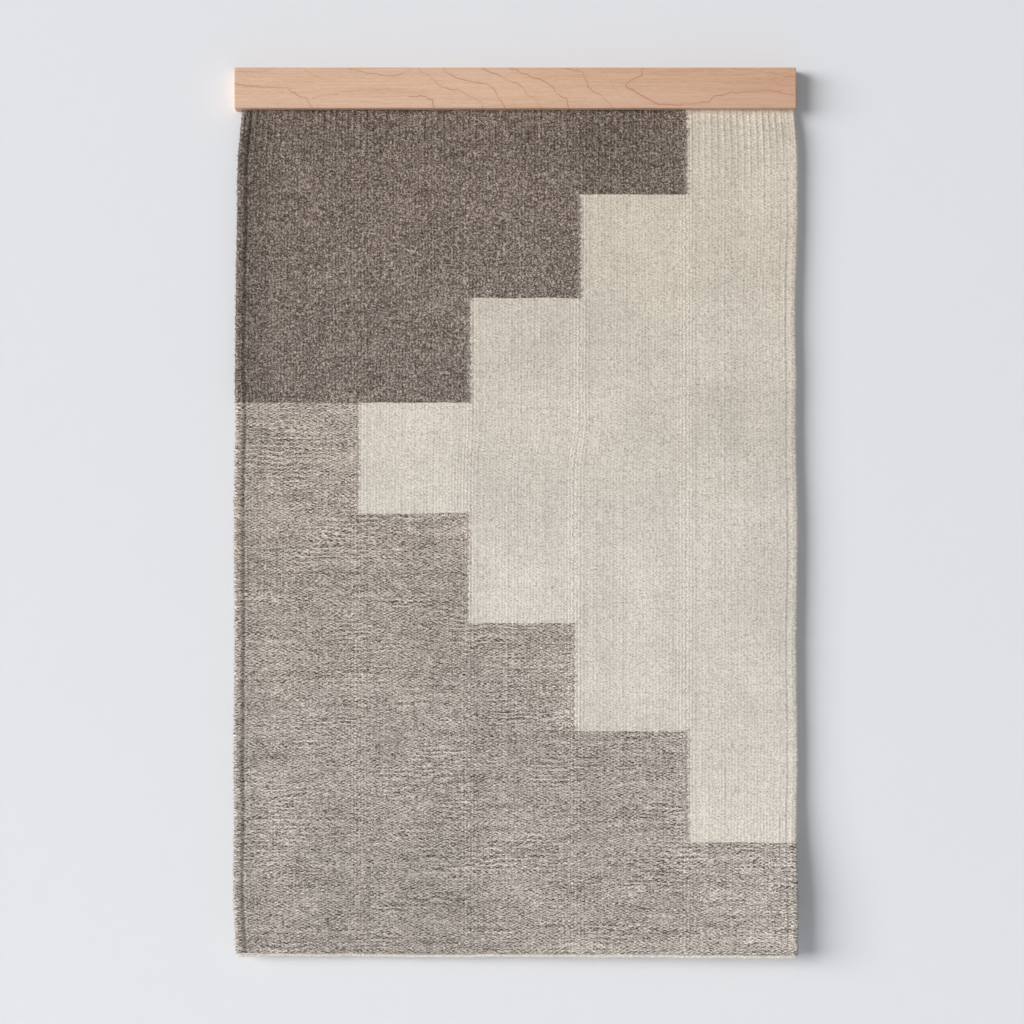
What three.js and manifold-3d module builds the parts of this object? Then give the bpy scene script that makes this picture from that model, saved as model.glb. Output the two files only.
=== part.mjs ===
// Woven wool wall hanging held in a two-slat maple clamp bar.
//
// Frame: millimetres, +Z up, +X to the viewer's right, +Y into the wall.
// The origin is the middle of the bar's rear face, the face that lies against
// the wall (y = 0). The bar and the cloth stand in front of it, at negative y.
//
// How it is built: the top edge of a weft-faced flat weave is trapped between
// a front slat and a rebated back slat. Six countersunk wood screws go in from
// the rear, through the back slat and the cloth, into blind pilot holes in the
// front slat. Two steel keyhole plates, let in flush with the rear face, hang
// the bar on two screw heads.

import * as THREE from "three";
import { mergeVertices } from "three/addons/utils/BufferGeometryUtils.js";
import Module from "manifold-3d";

const wasm = await Module();
wasm.setup();

// ---------- driving dimensions (mm) ----------
const BAR_L = 609.6; // 24 in
const BAR_H = 44.4; // 1 3/4 in
const BAR_D = 25.0; // front face to rear face
const BACK_T = 10.0; // back slat behind the cloth
const FRONT_T = 12.0; // front slat
const SLOT_T = BAR_D - BACK_T - FRONT_T; // 3.0, room for the cloth
const REBATE_TOP = 10.5; // the slot's closed upper end, above the bar's middle
const SEAM = 0.2; // joint line between the two slats
const EASE = 1.6; // eased edges
const BAR_B = -BAR_H / 2; // lower edge of the bar

const CLOTH_T = 3.0;
const CLOTH_Y = -(BACK_T + SLOT_T / 2); // middle plane of the cloth
const CLOTH_L = -303.6; // left selvedge
const CLOTH_R = 305.4; // right selvedge
const HEAD_L = -296.2; // the cloth is drawn in a little where it is clamped
const HEAD_R = 303.1;
const HEAD_TOP = 9.6; // how far up the cloth reaches inside the slot
const FIELD_TOP = -25.6; // just clear of the bar, so that the cloth can swing
const FIELD_BOTTOM = -941.8;
const CORD_H = 3.8; // twined heading that locks the last pick
const GAP = 0.15; // half of the clearance between two neighbouring fields

// stair steps of the pattern
const STEP_X = [-171.2, -51.3, 64.2, 186.2];
const UPPER_X = [-49.2, 70.7, 186.2];
const ROW_Z = [-114.6, -226.9, -341.3, -461.2, -581.1, -698.8, -820.8];

// clamp screws: 3.5 x 19 countersunk
const SCREW_X = [-272, -140, -48, 48, 140, 272];
const SCREW_Z = -2.0;
const SCREW_R = 1.75;
const SCREW_HEAD_R = 3.5;
const SCREW_LEN = 19.0;
const SCREW_SINK = 0.5;
const CLEAR_R = 2.1;

// keyhole plates, 16 in apart
const PLATE_X = 203.2;
const PLATE_W = 16.0;
const PLATE_H = 38.0;
const PLATE_T = 1.6;
const PLATE_SINK = 0.3;
const ENTRY_R = 4.75; // lets an 8.5 mm screw head through
const ENTRY_Z = -5.0;
const NECK_R = 2.5; // holds a 4.2 mm shank
const NECK_Z = 6.5;
const POCKET_W = 11.0;
const POCKET_TOP = 11.6;
const POCKET_BOTTOM = -10.4;
const POCKET_DEPTH = 7.0; // from the rear face
const PLATE_SCREW_Z = [14.9, -14.9];
const PSCREW_R = 1.3;
const PSCREW_HEAD_R = 2.6;
const PSCREW_LEN = 7.5;

// ---------- materials ----------
const maple = new THREE.MeshStandardMaterial({ color: 0xd5b094, roughness: 0.55, metalness: 0.0 });
const mapleBack = new THREE.MeshStandardMaterial({ color: 0xcfa98b, roughness: 0.62, metalness: 0.0 });
const darkWool = new THREE.MeshStandardMaterial({ color: 0x7b6f67, roughness: 0.95, metalness: 0.0 });
const creamWool = new THREE.MeshStandardMaterial({ color: 0xcdc5b9, roughness: 0.95, metalness: 0.0 });
const heatherWool = new THREE.MeshStandardMaterial({ color: 0xa39a92, roughness: 0.95, metalness: 0.0 });
const cordWool = new THREE.MeshStandardMaterial({ color: 0xd4cbbd, roughness: 0.95, metalness: 0.0 });
const steel = new THREE.MeshStandardMaterial({ color: 0xb4b6b8, roughness: 0.35, metalness: 0.9 });
const zinc = new THREE.MeshStandardMaterial({ color: 0xc2c1ba, roughness: 0.4, metalness: 0.85 });

// ---------- helpers ----------
// Merges shared vertices, drops the collapsed triangles that a turned shape has
// on its axis, and turns the faces outwards.
function clean(geometry) {
  const g = geometry.clone();
  for (const name of Object.keys(g.attributes)) if (name !== "position") g.deleteAttribute(name);
  const m = mergeVertices(g, 1e-4);
  const p = m.attributes.position;
  const kept = [];
  let volume = 0;
  const a = new THREE.Vector3();
  const b = new THREE.Vector3();
  const c = new THREE.Vector3();
  for (let i = 0; i < m.index.count; i += 3) {
    const t = [m.index.getX(i), m.index.getX(i + 1), m.index.getX(i + 2)];
    if (t[0] === t[1] || t[1] === t[2] || t[2] === t[0]) continue;
    a.fromBufferAttribute(p, t[0]);
    b.fromBufferAttribute(p, t[1]);
    c.fromBufferAttribute(p, t[2]);
    volume += a.dot(b.clone().cross(c)) / 6;
    kept.push(t);
  }
  m.setIndex(kept.flatMap((t) => (volume < 0 ? [t[0], t[2], t[1]] : t)));
  return m;
}

function solid(geometry) {
  const m = clean(geometry);
  return new wasm.Manifold(
    new wasm.Mesh({
      numProp: 3,
      vertProperties: new Float32Array(m.attributes.position.array),
      triVerts: new Uint32Array(m.index.array),
    }),
  );
}

function back(manifold) {
  const m = manifold.getMesh();
  const g = new THREE.BufferGeometry();
  const count = m.vertProperties.length / m.numProp;
  const position = new Float32Array(count * 3);
  for (let i = 0; i < count; i++) {
    for (let k = 0; k < 3; k++) position[i * 3 + k] = m.vertProperties[i * m.numProp + k];
  }
  g.setAttribute("position", new THREE.BufferAttribute(position, 3));
  g.setIndex(new THREE.BufferAttribute(new Uint32Array(m.triVerts), 1));
  g.computeVertexNormals();
  return g;
}

const root = new THREE.Group();
root.name = "tapestry_wall_hanging";
const bar = new THREE.Group();
const cloth = new THREE.Group();
root.add(bar, cloth);

function mesh(name, geometry, material, parent) {
  const m = new THREE.Mesh(geometry, material);
  m.name = name;
  parent.add(m);
  return m;
}

// A profile in (y, z) swept along x from x0 to x1.
function alongX(points, x0, x1) {
  const s = new THREE.Shape(points.map(([y, z]) => new THREE.Vector2(y, z)));
  const g = new THREE.ExtrudeGeometry(s, { depth: x1 - x0, bevelEnabled: false, curveSegments: 4 });
  // shape x -> world y, shape y -> world z, extrusion -> world x
  const m = new THREE.Matrix4().makeBasis(
    new THREE.Vector3(0, 1, 0),
    new THREE.Vector3(0, 0, 1),
    new THREE.Vector3(1, 0, 0),
  );
  m.setPosition(x0, 0, 0);
  g.applyMatrix4(m);
  return g;
}

// A profile in (x, z) swept along y from y0 to y1.
function alongY(shape, y0, y1, segments = 6) {
  const g = new THREE.ExtrudeGeometry(shape, { depth: y1 - y0, bevelEnabled: false, curveSegments: segments });
  const m = new THREE.Matrix4().makeBasis(
    new THREE.Vector3(1, 0, 0),
    new THREE.Vector3(0, 0, 1),
    new THREE.Vector3(0, -1, 0),
  );
  m.setPosition(0, y1, 0);
  g.applyMatrix4(m);
  return g;
}

// Rounds the listed corners of a closed (y, z) outline.
function eased(outline, radii, steps = 3) {
  const out = [];
  const n = outline.length;
  for (let i = 0; i < n; i++) {
    const p = outline[i];
    const r = radii[i];
    if (!r) {
      out.push(p);
      continue;
    }
    const a = outline[(i + n - 1) % n];
    const b = outline[(i + 1) % n];
    const ua = unit(a[0] - p[0], a[1] - p[1]);
    const ub = unit(b[0] - p[0], b[1] - p[1]);
    for (let k = 0; k <= steps; k++) {
      const t = (k / steps) * (Math.PI / 2);
      const ca = 1 - Math.sin(t);
      const cb = 1 - Math.cos(t);
      out.push([p[0] + ua[0] * r * ca + ub[0] * r * cb, p[1] + ua[1] * r * ca + ub[1] * r * cb]);
    }
  }
  return out;
}

function unit(x, y) {
  const l = Math.hypot(x, y);
  return [x / l, y / l];
}

// A turned shape about the y axis: profile of [radius, y], from tip to head.
function turned(profile, x, z, segments = 16) {
  const g = new THREE.LatheGeometry(
    profile.map(([r, y]) => new THREE.Vector2(r, y)),
    segments,
  );
  g.translate(x, 0, z);
  return g;
}

// Crossed recess of a driver, cut into a screw head from the rear.
function recess(x, z, y, span, width, depth) {
  const a = new THREE.BoxGeometry(span, depth * 2, width);
  const b = new THREE.BoxGeometry(width, depth * 2, span);
  a.translate(x, y, z);
  b.translate(x, y, z);
  return solid(a).add(solid(b));
}

// ---------- front slat ----------
{
  const y0 = -BAR_D;
  const y1 = -BAR_D + FRONT_T;
  const outline = eased(
    [
      [y0, BAR_B],
      [y1, BAR_B],
      [y1, -BAR_B],
      [y0, -BAR_B],
    ],
    [EASE, 0.5, 0.5, EASE],
  );
  let s = solid(alongX(outline, -BAR_L / 2, BAR_L / 2));
  for (const x of SCREW_X) {
    // blind pilot hole, open towards the cloth
    const tip = -SCREW_SINK - SCREW_LEN - 0.6;
    s = s.subtract(
      solid(
        turned(
          [
            [0, tip - 0.9],
            [CLEAR_R, tip],
            [CLEAR_R, y1 + 1],
            [0, y1 + 1],
          ],
          x,
          SCREW_Z,
        ),
      ),
    );
  }
  mesh("front_slat", back(s), maple, bar);
}

// ---------- back slat, rebated for the cloth ----------
{
  const yFace = -BACK_T;
  const yTop = -BACK_T - SLOT_T + SEAM;
  const outline = eased(
    [
      [yFace, BAR_B],
      [0, BAR_B],
      [0, -BAR_B],
      [yTop, -BAR_B],
      [yTop, REBATE_TOP],
      [yFace, REBATE_TOP],
    ],
    [0.5, EASE, EASE, 0.5, 0, 0],
  );
  let s = solid(alongX(outline, -BAR_L / 2, BAR_L / 2));
  for (const x of SCREW_X) {
    s = s.subtract(
      solid(
        turned(
          [
            [0, yFace - 1],
            [CLEAR_R, yFace - 1],
            [CLEAR_R, -SCREW_SINK - 2.2],
            [SCREW_HEAD_R + 0.8, -SCREW_SINK + 0.1],
            [SCREW_HEAD_R + 0.8, 1],
            [0, 1],
          ],
          x,
          SCREW_Z,
        ),
      ),
    );
  }
  for (const side of [-1, 1]) {
    // shallow bed that sets the plate flush
    const bed = roundedRect(side * PLATE_X, 0, PLATE_W + 0.6, PLATE_H + 0.6, 3.3);
    s = s.subtract(solid(alongY(bed, -PLATE_T - PLATE_SINK - 0.3, 1, 3)));
    // deeper pocket that gives the wall screw's head room behind the plate
    const pocket = roundedRect(
      side * PLATE_X,
      (POCKET_TOP + POCKET_BOTTOM) / 2,
      POCKET_W,
      POCKET_TOP - POCKET_BOTTOM,
      5.0,
    );
    s = s.subtract(solid(alongY(pocket, -POCKET_DEPTH, 1, 4)));
    for (const z of PLATE_SCREW_Z) {
      const tip = -PLATE_SINK - PSCREW_LEN - 0.4;
      s = s.subtract(
        solid(
          turned(
            [
              [0, tip - 0.6],
              [PSCREW_R + 0.3, tip],
              [PSCREW_R + 0.3, 1],
              [0, 1],
            ],
            side * PLATE_X,
            z,
            12,
          ),
        ),
      );
    }
  }
  mesh("back_slat", back(s), mapleBack, bar);
}

function roundedRect(cx, cz, w, h, r) {
  const s = new THREE.Shape();
  const x0 = cx - w / 2;
  const x1 = cx + w / 2;
  const z0 = cz - h / 2;
  const z1 = cz + h / 2;
  s.moveTo(x0 + r, z0);
  s.lineTo(x1 - r, z0);
  s.absarc(x1 - r, z0 + r, r, -Math.PI / 2, 0, false);
  s.lineTo(x1, z1 - r);
  s.absarc(x1 - r, z1 - r, r, 0, Math.PI / 2, false);
  s.lineTo(x0 + r, z1);
  s.absarc(x0 + r, z1 - r, r, Math.PI / 2, Math.PI, false);
  s.lineTo(x0, z0 + r);
  s.absarc(x0 + r, z0 + r, r, Math.PI, 1.5 * Math.PI, false);
  return s;
}

// ---------- clamp screws ----------
SCREW_X.forEach((x, i) => {
  const top = -SCREW_SINK;
  const tip = top - SCREW_LEN;
  let s = solid(
    turned(
      [
        [0, tip],
        [SCREW_R, tip + 3.2],
        [SCREW_R, top - 2.4],
        [SCREW_HEAD_R, top - 0.35],
        [SCREW_HEAD_R, top],
        [0, top],
      ],
      x,
      SCREW_Z,
    ),
  );
  s = s.subtract(recess(x, SCREW_Z, top, 4.0, 0.9, 1.5));
  mesh(`clamp_screw_${i + 1}`, back(s), zinc, bar);
});

// ---------- keyhole plates and their screws ----------
for (const side of [-1, 1]) {
  const label = side < 0 ? "left" : "right";
  const cx = side * PLATE_X;
  const shape = roundedRect(cx, 0, PLATE_W, PLATE_H, 3.0);
  let s = solid(alongY(shape, -PLATE_SINK - PLATE_T, -PLATE_SINK, 3));
  // keyhole: a round entry with a narrow neck above it
  const key = new THREE.Shape();
  const half = Math.asin(NECK_R / ENTRY_R);
  key.absarc(cx, ENTRY_Z, ENTRY_R, Math.PI / 2 + half, Math.PI / 2 - half + 2 * Math.PI, false);
  key.lineTo(cx + NECK_R, NECK_Z);
  key.absarc(cx, NECK_Z, NECK_R, 0, Math.PI, false);
  s = s.subtract(solid(alongY(key, -PLATE_SINK - PLATE_T - 1, 1, 10)));
  for (const z of PLATE_SCREW_Z) {
    s = s.subtract(
      solid(
        turned(
          [
            [0, -PLATE_SINK - PLATE_T - 1],
            [PSCREW_R + 0.3, -PLATE_SINK - PLATE_T - 1],
            [PSCREW_R + 0.3, -PLATE_SINK - 1.35],
            [PSCREW_HEAD_R + 0.8, -PLATE_SINK + 0.05],
            [PSCREW_HEAD_R + 0.8, 1],
            [0, 1],
          ],
          cx,
          z,
          14,
        ),
      ),
    );
  }
  mesh(`keyhole_plate_${label}`, back(s), steel, bar);

  PLATE_SCREW_Z.forEach((z, k) => {
    const top = -PLATE_SINK - 0.1;
    const tip = top - PSCREW_LEN;
    let p = solid(
      turned(
        [
          [0, tip],
          [PSCREW_R, tip + 2.2],
          [PSCREW_R, top - 1.35],
          [PSCREW_HEAD_R, top - 0.25],
          [PSCREW_HEAD_R, top],
          [0, top],
        ],
        cx,
        z,
        12,
      ),
    );
    p = p.subtract(recess(cx, z, top, 2.9, 0.7, 0.9));
    mesh(`plate_screw_${label}_${k === 0 ? "upper" : "lower"}`, back(p), zinc, bar);
  });
}

// ---------- cloth: the part trapped in the bar ----------
{
  const s = new THREE.Shape();
  s.moveTo(HEAD_L, BAR_B);
  s.lineTo(HEAD_R, BAR_B);
  s.lineTo(HEAD_R, HEAD_TOP);
  s.lineTo(HEAD_L, HEAD_TOP);
  s.closePath();
  let m = solid(alongY(s, CLOTH_Y - CLOTH_T / 2 + SEAM, CLOTH_Y + CLOTH_T / 2 - SEAM));
  for (const x of SCREW_X) {
    m = m.subtract(
      solid(
        turned(
          [
            [0, -20],
            [CLEAR_R, -20],
            [CLEAR_R, -5],
            [0, -5],
          ],
          x,
          SCREW_Z,
          12,
        ),
      ),
    );
  }
  mesh("clamped_heading", back(m), cordWool, bar);
}

// ---------- cloth: the three woven colour fields ----------
function field(name, corners, material) {
  // corners run anticlockwise seen from the front, and each is pulled in by GAP
  const n = corners.length;
  const pts = corners.map((p, i) => {
    const a = corners[(i + n - 1) % n];
    const b = corners[(i + 1) % n];
    const d1 = unit(p[0] - a[0], p[1] - a[1]);
    const d2 = unit(b[0] - p[0], b[1] - p[1]);
    // inward normals of the two edges that meet here
    const n1 = [-d1[1], d1[0]];
    const n2 = [-d2[1], d2[0]];
    return new THREE.Vector2(p[0] + (n1[0] + n2[0]) * GAP, p[1] + (n1[1] + n2[1]) * GAP);
  });
  const g = alongY(new THREE.Shape(pts), CLOTH_Y - CLOTH_T / 2, CLOTH_Y + CLOTH_T / 2);
  mesh(name, back(solid(g)), material, cloth);
}

field(
  "dark_field",
  [
    [CLOTH_L, ROW_Z[2]],
    [UPPER_X[0], ROW_Z[2]],
    [UPPER_X[0], ROW_Z[1]],
    [UPPER_X[1], ROW_Z[1]],
    [UPPER_X[1], ROW_Z[0]],
    [UPPER_X[2], ROW_Z[0]],
    [UPPER_X[2], FIELD_TOP],
    [CLOTH_L, FIELD_TOP],
  ],
  darkWool,
);

field(
  "cream_field",
  [
    [STEP_X[3], ROW_Z[6]],
    [CLOTH_R, ROW_Z[6]],
    [CLOTH_R, FIELD_TOP],
    [UPPER_X[2], FIELD_TOP],
    [UPPER_X[2], ROW_Z[0]],
    [UPPER_X[1], ROW_Z[0]],
    [UPPER_X[1], ROW_Z[1]],
    [UPPER_X[0], ROW_Z[1]],
    [UPPER_X[0], ROW_Z[2]],
    [STEP_X[0], ROW_Z[2]],
    [STEP_X[0], ROW_Z[3]],
    [STEP_X[1], ROW_Z[3]],
    [STEP_X[1], ROW_Z[4]],
    [STEP_X[2], ROW_Z[4]],
    [STEP_X[2], ROW_Z[5]],
    [STEP_X[3], ROW_Z[5]],
  ],
  creamWool,
);

field(
  "heather_field",
  [
    [CLOTH_L, FIELD_BOTTOM],
    [CLOTH_R, FIELD_BOTTOM],
    [CLOTH_R, ROW_Z[6]],
    [STEP_X[3], ROW_Z[6]],
    [STEP_X[3], ROW_Z[5]],
    [STEP_X[2], ROW_Z[5]],
    [STEP_X[2], ROW_Z[4]],
    [STEP_X[1], ROW_Z[4]],
    [STEP_X[1], ROW_Z[3]],
    [STEP_X[0], ROW_Z[3]],
    [STEP_X[0], ROW_Z[2]],
    [CLOTH_L, ROW_Z[2]],
  ],
  heatherWool,
);

// ---------- cloth: twined warp ends along the bottom ----------
{
  const y0 = CLOTH_Y - CLOTH_T / 2;
  const y1 = CLOTH_Y + CLOTH_T / 2;
  const z1 = FIELD_BOTTOM - GAP;
  const z0 = z1 - CORD_H;
  const outline = eased(
    [
      [y0, z0],
      [y1, z0],
      [y1, z1],
      [y0, z1],
    ],
    [1.3, 1.3, 1.3, 1.3],
  );
  mesh("bottom_heading_cord", back(solid(alongX(outline, CLOTH_L, CLOTH_R))), cordWool, cloth);
}

export default root;
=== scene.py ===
"""Woven wool wall hanging in a maple clamp bar. Metres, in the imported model's frame."""
import math
import bmesh
import bpy
import numpy as np
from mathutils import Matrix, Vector


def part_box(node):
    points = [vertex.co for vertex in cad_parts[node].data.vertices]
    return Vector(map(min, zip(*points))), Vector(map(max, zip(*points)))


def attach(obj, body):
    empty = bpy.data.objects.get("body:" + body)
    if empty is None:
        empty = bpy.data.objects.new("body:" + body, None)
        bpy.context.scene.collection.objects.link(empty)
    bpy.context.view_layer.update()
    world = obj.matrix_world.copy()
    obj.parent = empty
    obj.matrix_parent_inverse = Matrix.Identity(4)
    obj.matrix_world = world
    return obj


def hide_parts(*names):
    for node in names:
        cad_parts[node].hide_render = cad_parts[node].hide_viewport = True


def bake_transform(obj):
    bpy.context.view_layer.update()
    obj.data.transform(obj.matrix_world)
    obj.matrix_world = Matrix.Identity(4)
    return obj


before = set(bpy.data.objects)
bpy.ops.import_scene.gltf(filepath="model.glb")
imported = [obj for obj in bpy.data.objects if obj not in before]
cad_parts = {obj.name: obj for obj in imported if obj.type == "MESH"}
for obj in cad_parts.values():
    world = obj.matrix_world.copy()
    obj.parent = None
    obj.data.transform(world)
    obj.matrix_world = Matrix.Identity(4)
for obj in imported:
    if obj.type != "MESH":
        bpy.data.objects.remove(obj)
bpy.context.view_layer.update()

MM = 0.001


def corners(node):
    lo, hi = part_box(node)
    return np.array(lo) / MM, np.array(hi) / MM


# ---------------------------------------------------------------- camera
# The camera faces the cloth squarely from about three metres.
EYE = Vector((-0.0034, -2.925, -0.4601))
cam_data = bpy.data.cameras.new("camera")
cam_data.sensor_width = 36.0
cam_data.lens = 36.0 * 2.900 / 1.1107
cam = bpy.data.objects.new("camera", cam_data)
bpy.context.scene.collection.objects.link(cam)
cam.location = EYE
cam.rotation_euler = (math.radians(90), 0, 0)
bpy.context.scene.camera = cam


# ---------------------------------------------------------------- noise
def _hash(ix, iy, seed):
    h = (ix.astype(np.int64) * 374761393 + iy.astype(np.int64) * 668265263 + seed * 974634777) & 0xFFFFFFFF
    h = ((h ^ (h >> 13)) * 1274126177) & 0xFFFFFFFF
    h = h ^ (h >> 16)
    return (h & 0xFFFFFF) / float(0xFFFFFF)


def white(ix, iy, seed=0):
    """Even noise from -1 to 1 on whole numbers."""
    ix, iy = np.broadcast_arrays(np.asarray(ix), np.asarray(iy))
    return _hash(ix, iy, seed) * 2 - 1


def noise(x, y, seed=0):
    """Smooth value noise from -1 to 1."""
    x, y = np.broadcast_arrays(np.asarray(x, float), np.asarray(y, float))
    ix, iy = np.floor(x).astype(np.int64), np.floor(y).astype(np.int64)
    fx, fy = x - ix, y - iy
    fx, fy = fx * fx * fx * (fx * (fx * 6 - 15) + 10), fy * fy * fy * (fy * (fy * 6 - 15) + 10)
    a = _hash(ix, iy, seed) * (1 - fx) + _hash(ix + 1, iy, seed) * fx
    b = _hash(ix, iy + 1, seed) * (1 - fx) + _hash(ix + 1, iy + 1, seed) * fx
    return (a * (1 - fy) + b * fy) * 2 - 1


def smooth(t):
    t = np.clip(t, 0, 1)
    return t * t * (3 - 2 * t)


# ---------------------------------------------------------------- node helpers
class Tree:
    """Short calls for building a material's nodes."""

    def __init__(self, name):
        self.mat = bpy.data.materials.new(name)
        self.mat.use_nodes = True
        self.nt = self.mat.node_tree
        self.nt.nodes.clear()
        self.out = self.add("ShaderNodeOutputMaterial")
        self.bsdf = self.add("ShaderNodeBsdfPrincipled")
        self.nt.links.new(self.bsdf.outputs[0], self.out.inputs["Surface"])

    def add(self, kind, **props):
        n = self.nt.nodes.new(kind)
        for k, v in props.items():
            setattr(n, k, v)
        return n

    def put(self, socket, value):
        if isinstance(value, bpy.types.NodeSocket):
            self.nt.links.new(value, socket)
        else:
            socket.default_value = value

    def math(self, op, a, b=None, c=None, clamp=False):
        n = self.add("ShaderNodeMath", operation=op, use_clamp=clamp)
        for s, v in zip(n.inputs, (a, b, c)):
            if v is not None:
                self.put(s, v)
        return n.outputs[0]

    def plus(self, a, b):
        return self.math("ADD", a, b)

    def minus(self, a, b):
        return self.math("SUBTRACT", a, b)

    def times(self, a, b):
        return self.math("MULTIPLY", a, b)

    def mad(self, a, b, c):
        return self.math("MULTIPLY_ADD", a, b, c)

    def clip(self, a):
        return self.math("MULTIPLY", a, 1.0, clamp=True)

    def step(self, a, lo, hi):
        n = self.add("ShaderNodeMapRange", interpolation_type="SMOOTHSTEP")
        self.put(n.inputs["Value"], a)
        n.inputs["From Min"].default_value = lo
        n.inputs["From Max"].default_value = hi
        return n.outputs[0]

    def vec(self, x, y, z=0.0):
        n = self.add("ShaderNodeCombineXYZ")
        for s, v in zip(n.inputs, (x, y, z)):
            self.put(s, v)
        return n.outputs[0]

    def split(self, v):
        n = self.add("ShaderNodeSeparateXYZ")
        self.put(n.inputs[0], v)
        return n.outputs[0], n.outputs[1], n.outputs[2]

    def noise(self, v, scale=1.0, detail=2.0, rough=0.5, distortion=0.0):
        n = self.add("ShaderNodeTexNoise")
        self.put(n.inputs["Vector"], v)
        n.inputs["Scale"].default_value = scale
        n.inputs["Detail"].default_value = detail
        n.inputs["Roughness"].default_value = rough
        n.inputs["Distortion"].default_value = distortion
        return n.outputs[0]

    def white(self, v):
        n = self.add("ShaderNodeTexWhiteNoise", noise_dimensions="3D")
        self.put(n.inputs["Vector"], v)
        return n.outputs[0]

    def mix(self, f, a, b, blend="MIX"):
        n = self.add("ShaderNodeMix", data_type="RGBA", blend_type=blend)
        n.clamp_factor = True
        self.put(n.inputs[0], f)
        self.put(n.inputs[6], a)
        self.put(n.inputs[7], b)
        return n.outputs[2]

    def scale_rgb(self, colour, k):
        n = self.add("ShaderNodeVectorMath", operation="SCALE")
        self.put(n.inputs[0], colour)
        self.put(n.inputs[3], k)
        return n.outputs[0]

    def bump(self, height, distance, strength=1.0):
        n = self.add("ShaderNodeBump")
        self.put(n.inputs["Height"], height)
        n.inputs["Distance"].default_value = distance
        n.inputs["Strength"].default_value = strength
        return n.outputs[0]


def rgb(r, g, b):
    """sRGB 0 to 255 to linear."""
    def f(c):
        c /= 255.0
        return c / 12.92 if c <= 0.04045 else ((c + 0.055) / 1.055) ** 2.4
    return (f(r), f(g), f(b), 1.0)


# ---------------------------------------------------------------- maple
def maple(name, dry=0.0, tone=1.0, drawn=False):
    """Pale hard maple. drawn takes the growth lines from the mesh, and otherwise they come from a field."""
    t = Tree(name)
    co = t.add("ShaderNodeTexCoord").outputs["Object"]
    x, y, z = t.split(co)
    along = t.mad(x, 1 / 0.6096, 0.5)
    broken = t.noise(t.vec(t.times(x, 30.0), t.times(y, 60.0), t.times(z, 60.0)), 1.0, 3.0, 0.6)
    if drawn:
        near = t.add("ShaderNodeAttribute", attribute_name="ring").outputs["Fac"]
        force = t.add("ShaderNodeAttribute", attribute_name="force").outputs["Fac"]
        line = t.times(t.minus(1.0, t.step(near, 0.22, 0.72)), force)
        line = t.times(line, t.mad(t.step(broken, 0.36, 0.56), 0.65, 0.35))
        shoulder = t.times(t.minus(1.0, t.step(near, 0.3, 5.0)), force)
        field_ = t.plus(t.times(z, 90.0), t.times(near, 0.10))
    else:
        wander = t.noise(t.vec(t.times(x, 9.0), t.times(y, 30.0), t.times(z, 30.0)), 1.0, 2.0, 0.5)
        field_ = t.plus(t.plus(t.times(x, 9.0), t.times(z, 40.0)), t.plus(t.times(y, 34.0), t.times(wander, 2.2)))
        phase = t.math("FRACT", field_)
        force = t.white(t.vec(t.math("FLOOR", field_), 3.0, 1.0))
        line = t.times(t.step(phase, 0.0, 0.02), t.minus(1.0, t.step(phase, 0.03, 0.06)))
        line = t.times(line, t.times(force, t.step(broken, 0.36, 0.56)))
        shoulder = t.times(t.minus(1.0, t.step(phase, 0.05, 0.5)), force)
    # straight fibre, fine pores and short flecks
    fibre = t.noise(t.vec(t.times(x, 16.0), t.times(y, 700.0), t.times(z, 700.0)), 1.0, 3.0, 0.62)
    fine = t.noise(t.vec(t.times(x, 130.0), t.times(y, 1900.0), t.times(z, 1900.0)), 1.0, 2.0, 0.6)
    broad = t.noise(t.vec(t.times(x, 4.0), t.times(y, 50.0), t.times(z, 50.0)), 1.0, 2.0, 0.5)
    speck = t.step(t.noise(t.vec(t.times(x, 520.0), t.times(y, 1500.0), t.times(z, 1500.0)), 1.0, 1.0, 0.4), 0.60, 0.72)

    light = rgb(*(v * tone for v in LIGHT_WOOD))
    mid_ = rgb(*(v * tone for v in MID_WOOD))
    deep = rgb(*(v * tone for v in DEEP_WOOD))
    f = t.mad(t.minus(fibre, 0.5), 1.9, 0.42)
    f = t.plus(f, t.times(t.minus(broad, 0.5), 1.1))
    f = t.plus(f, t.times(t.minus(fine, 0.5), 1.7))
    col = t.mix(t.clip(f), light, mid_)
    col = t.mix(t.times(shoulder, 0.16), col, mid_)
    col = t.mix(t.times(speck, 0.16), col, deep)
    # the right end of the board is a little warmer and darker
    col = t.mix(t.times(t.step(along, 0.40, 1.0), 0.20), col, deep)
    col = t.mix(t.times(line, 0.62), col, deep)
    t.put(t.bsdf.inputs["Base Color"], col)
    t.put(t.bsdf.inputs["Roughness"], t.mad(fibre, 0.22, 0.42 + dry))
    t.bsdf.inputs["Specular IOR Level"].default_value = 0.3
    height = t.plus(t.times(fibre, 0.6), t.plus(t.times(fine, 0.5), t.times(line, -0.5)))
    t.put(t.bsdf.inputs["Normal"], t.bump(height, 0.00012, 0.6))
    return t.mat


LIGHT_WOOD, MID_WOOD, DEEP_WOOD = (227, 192, 166), (209, 169, 140), (164, 92, 62)

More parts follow.
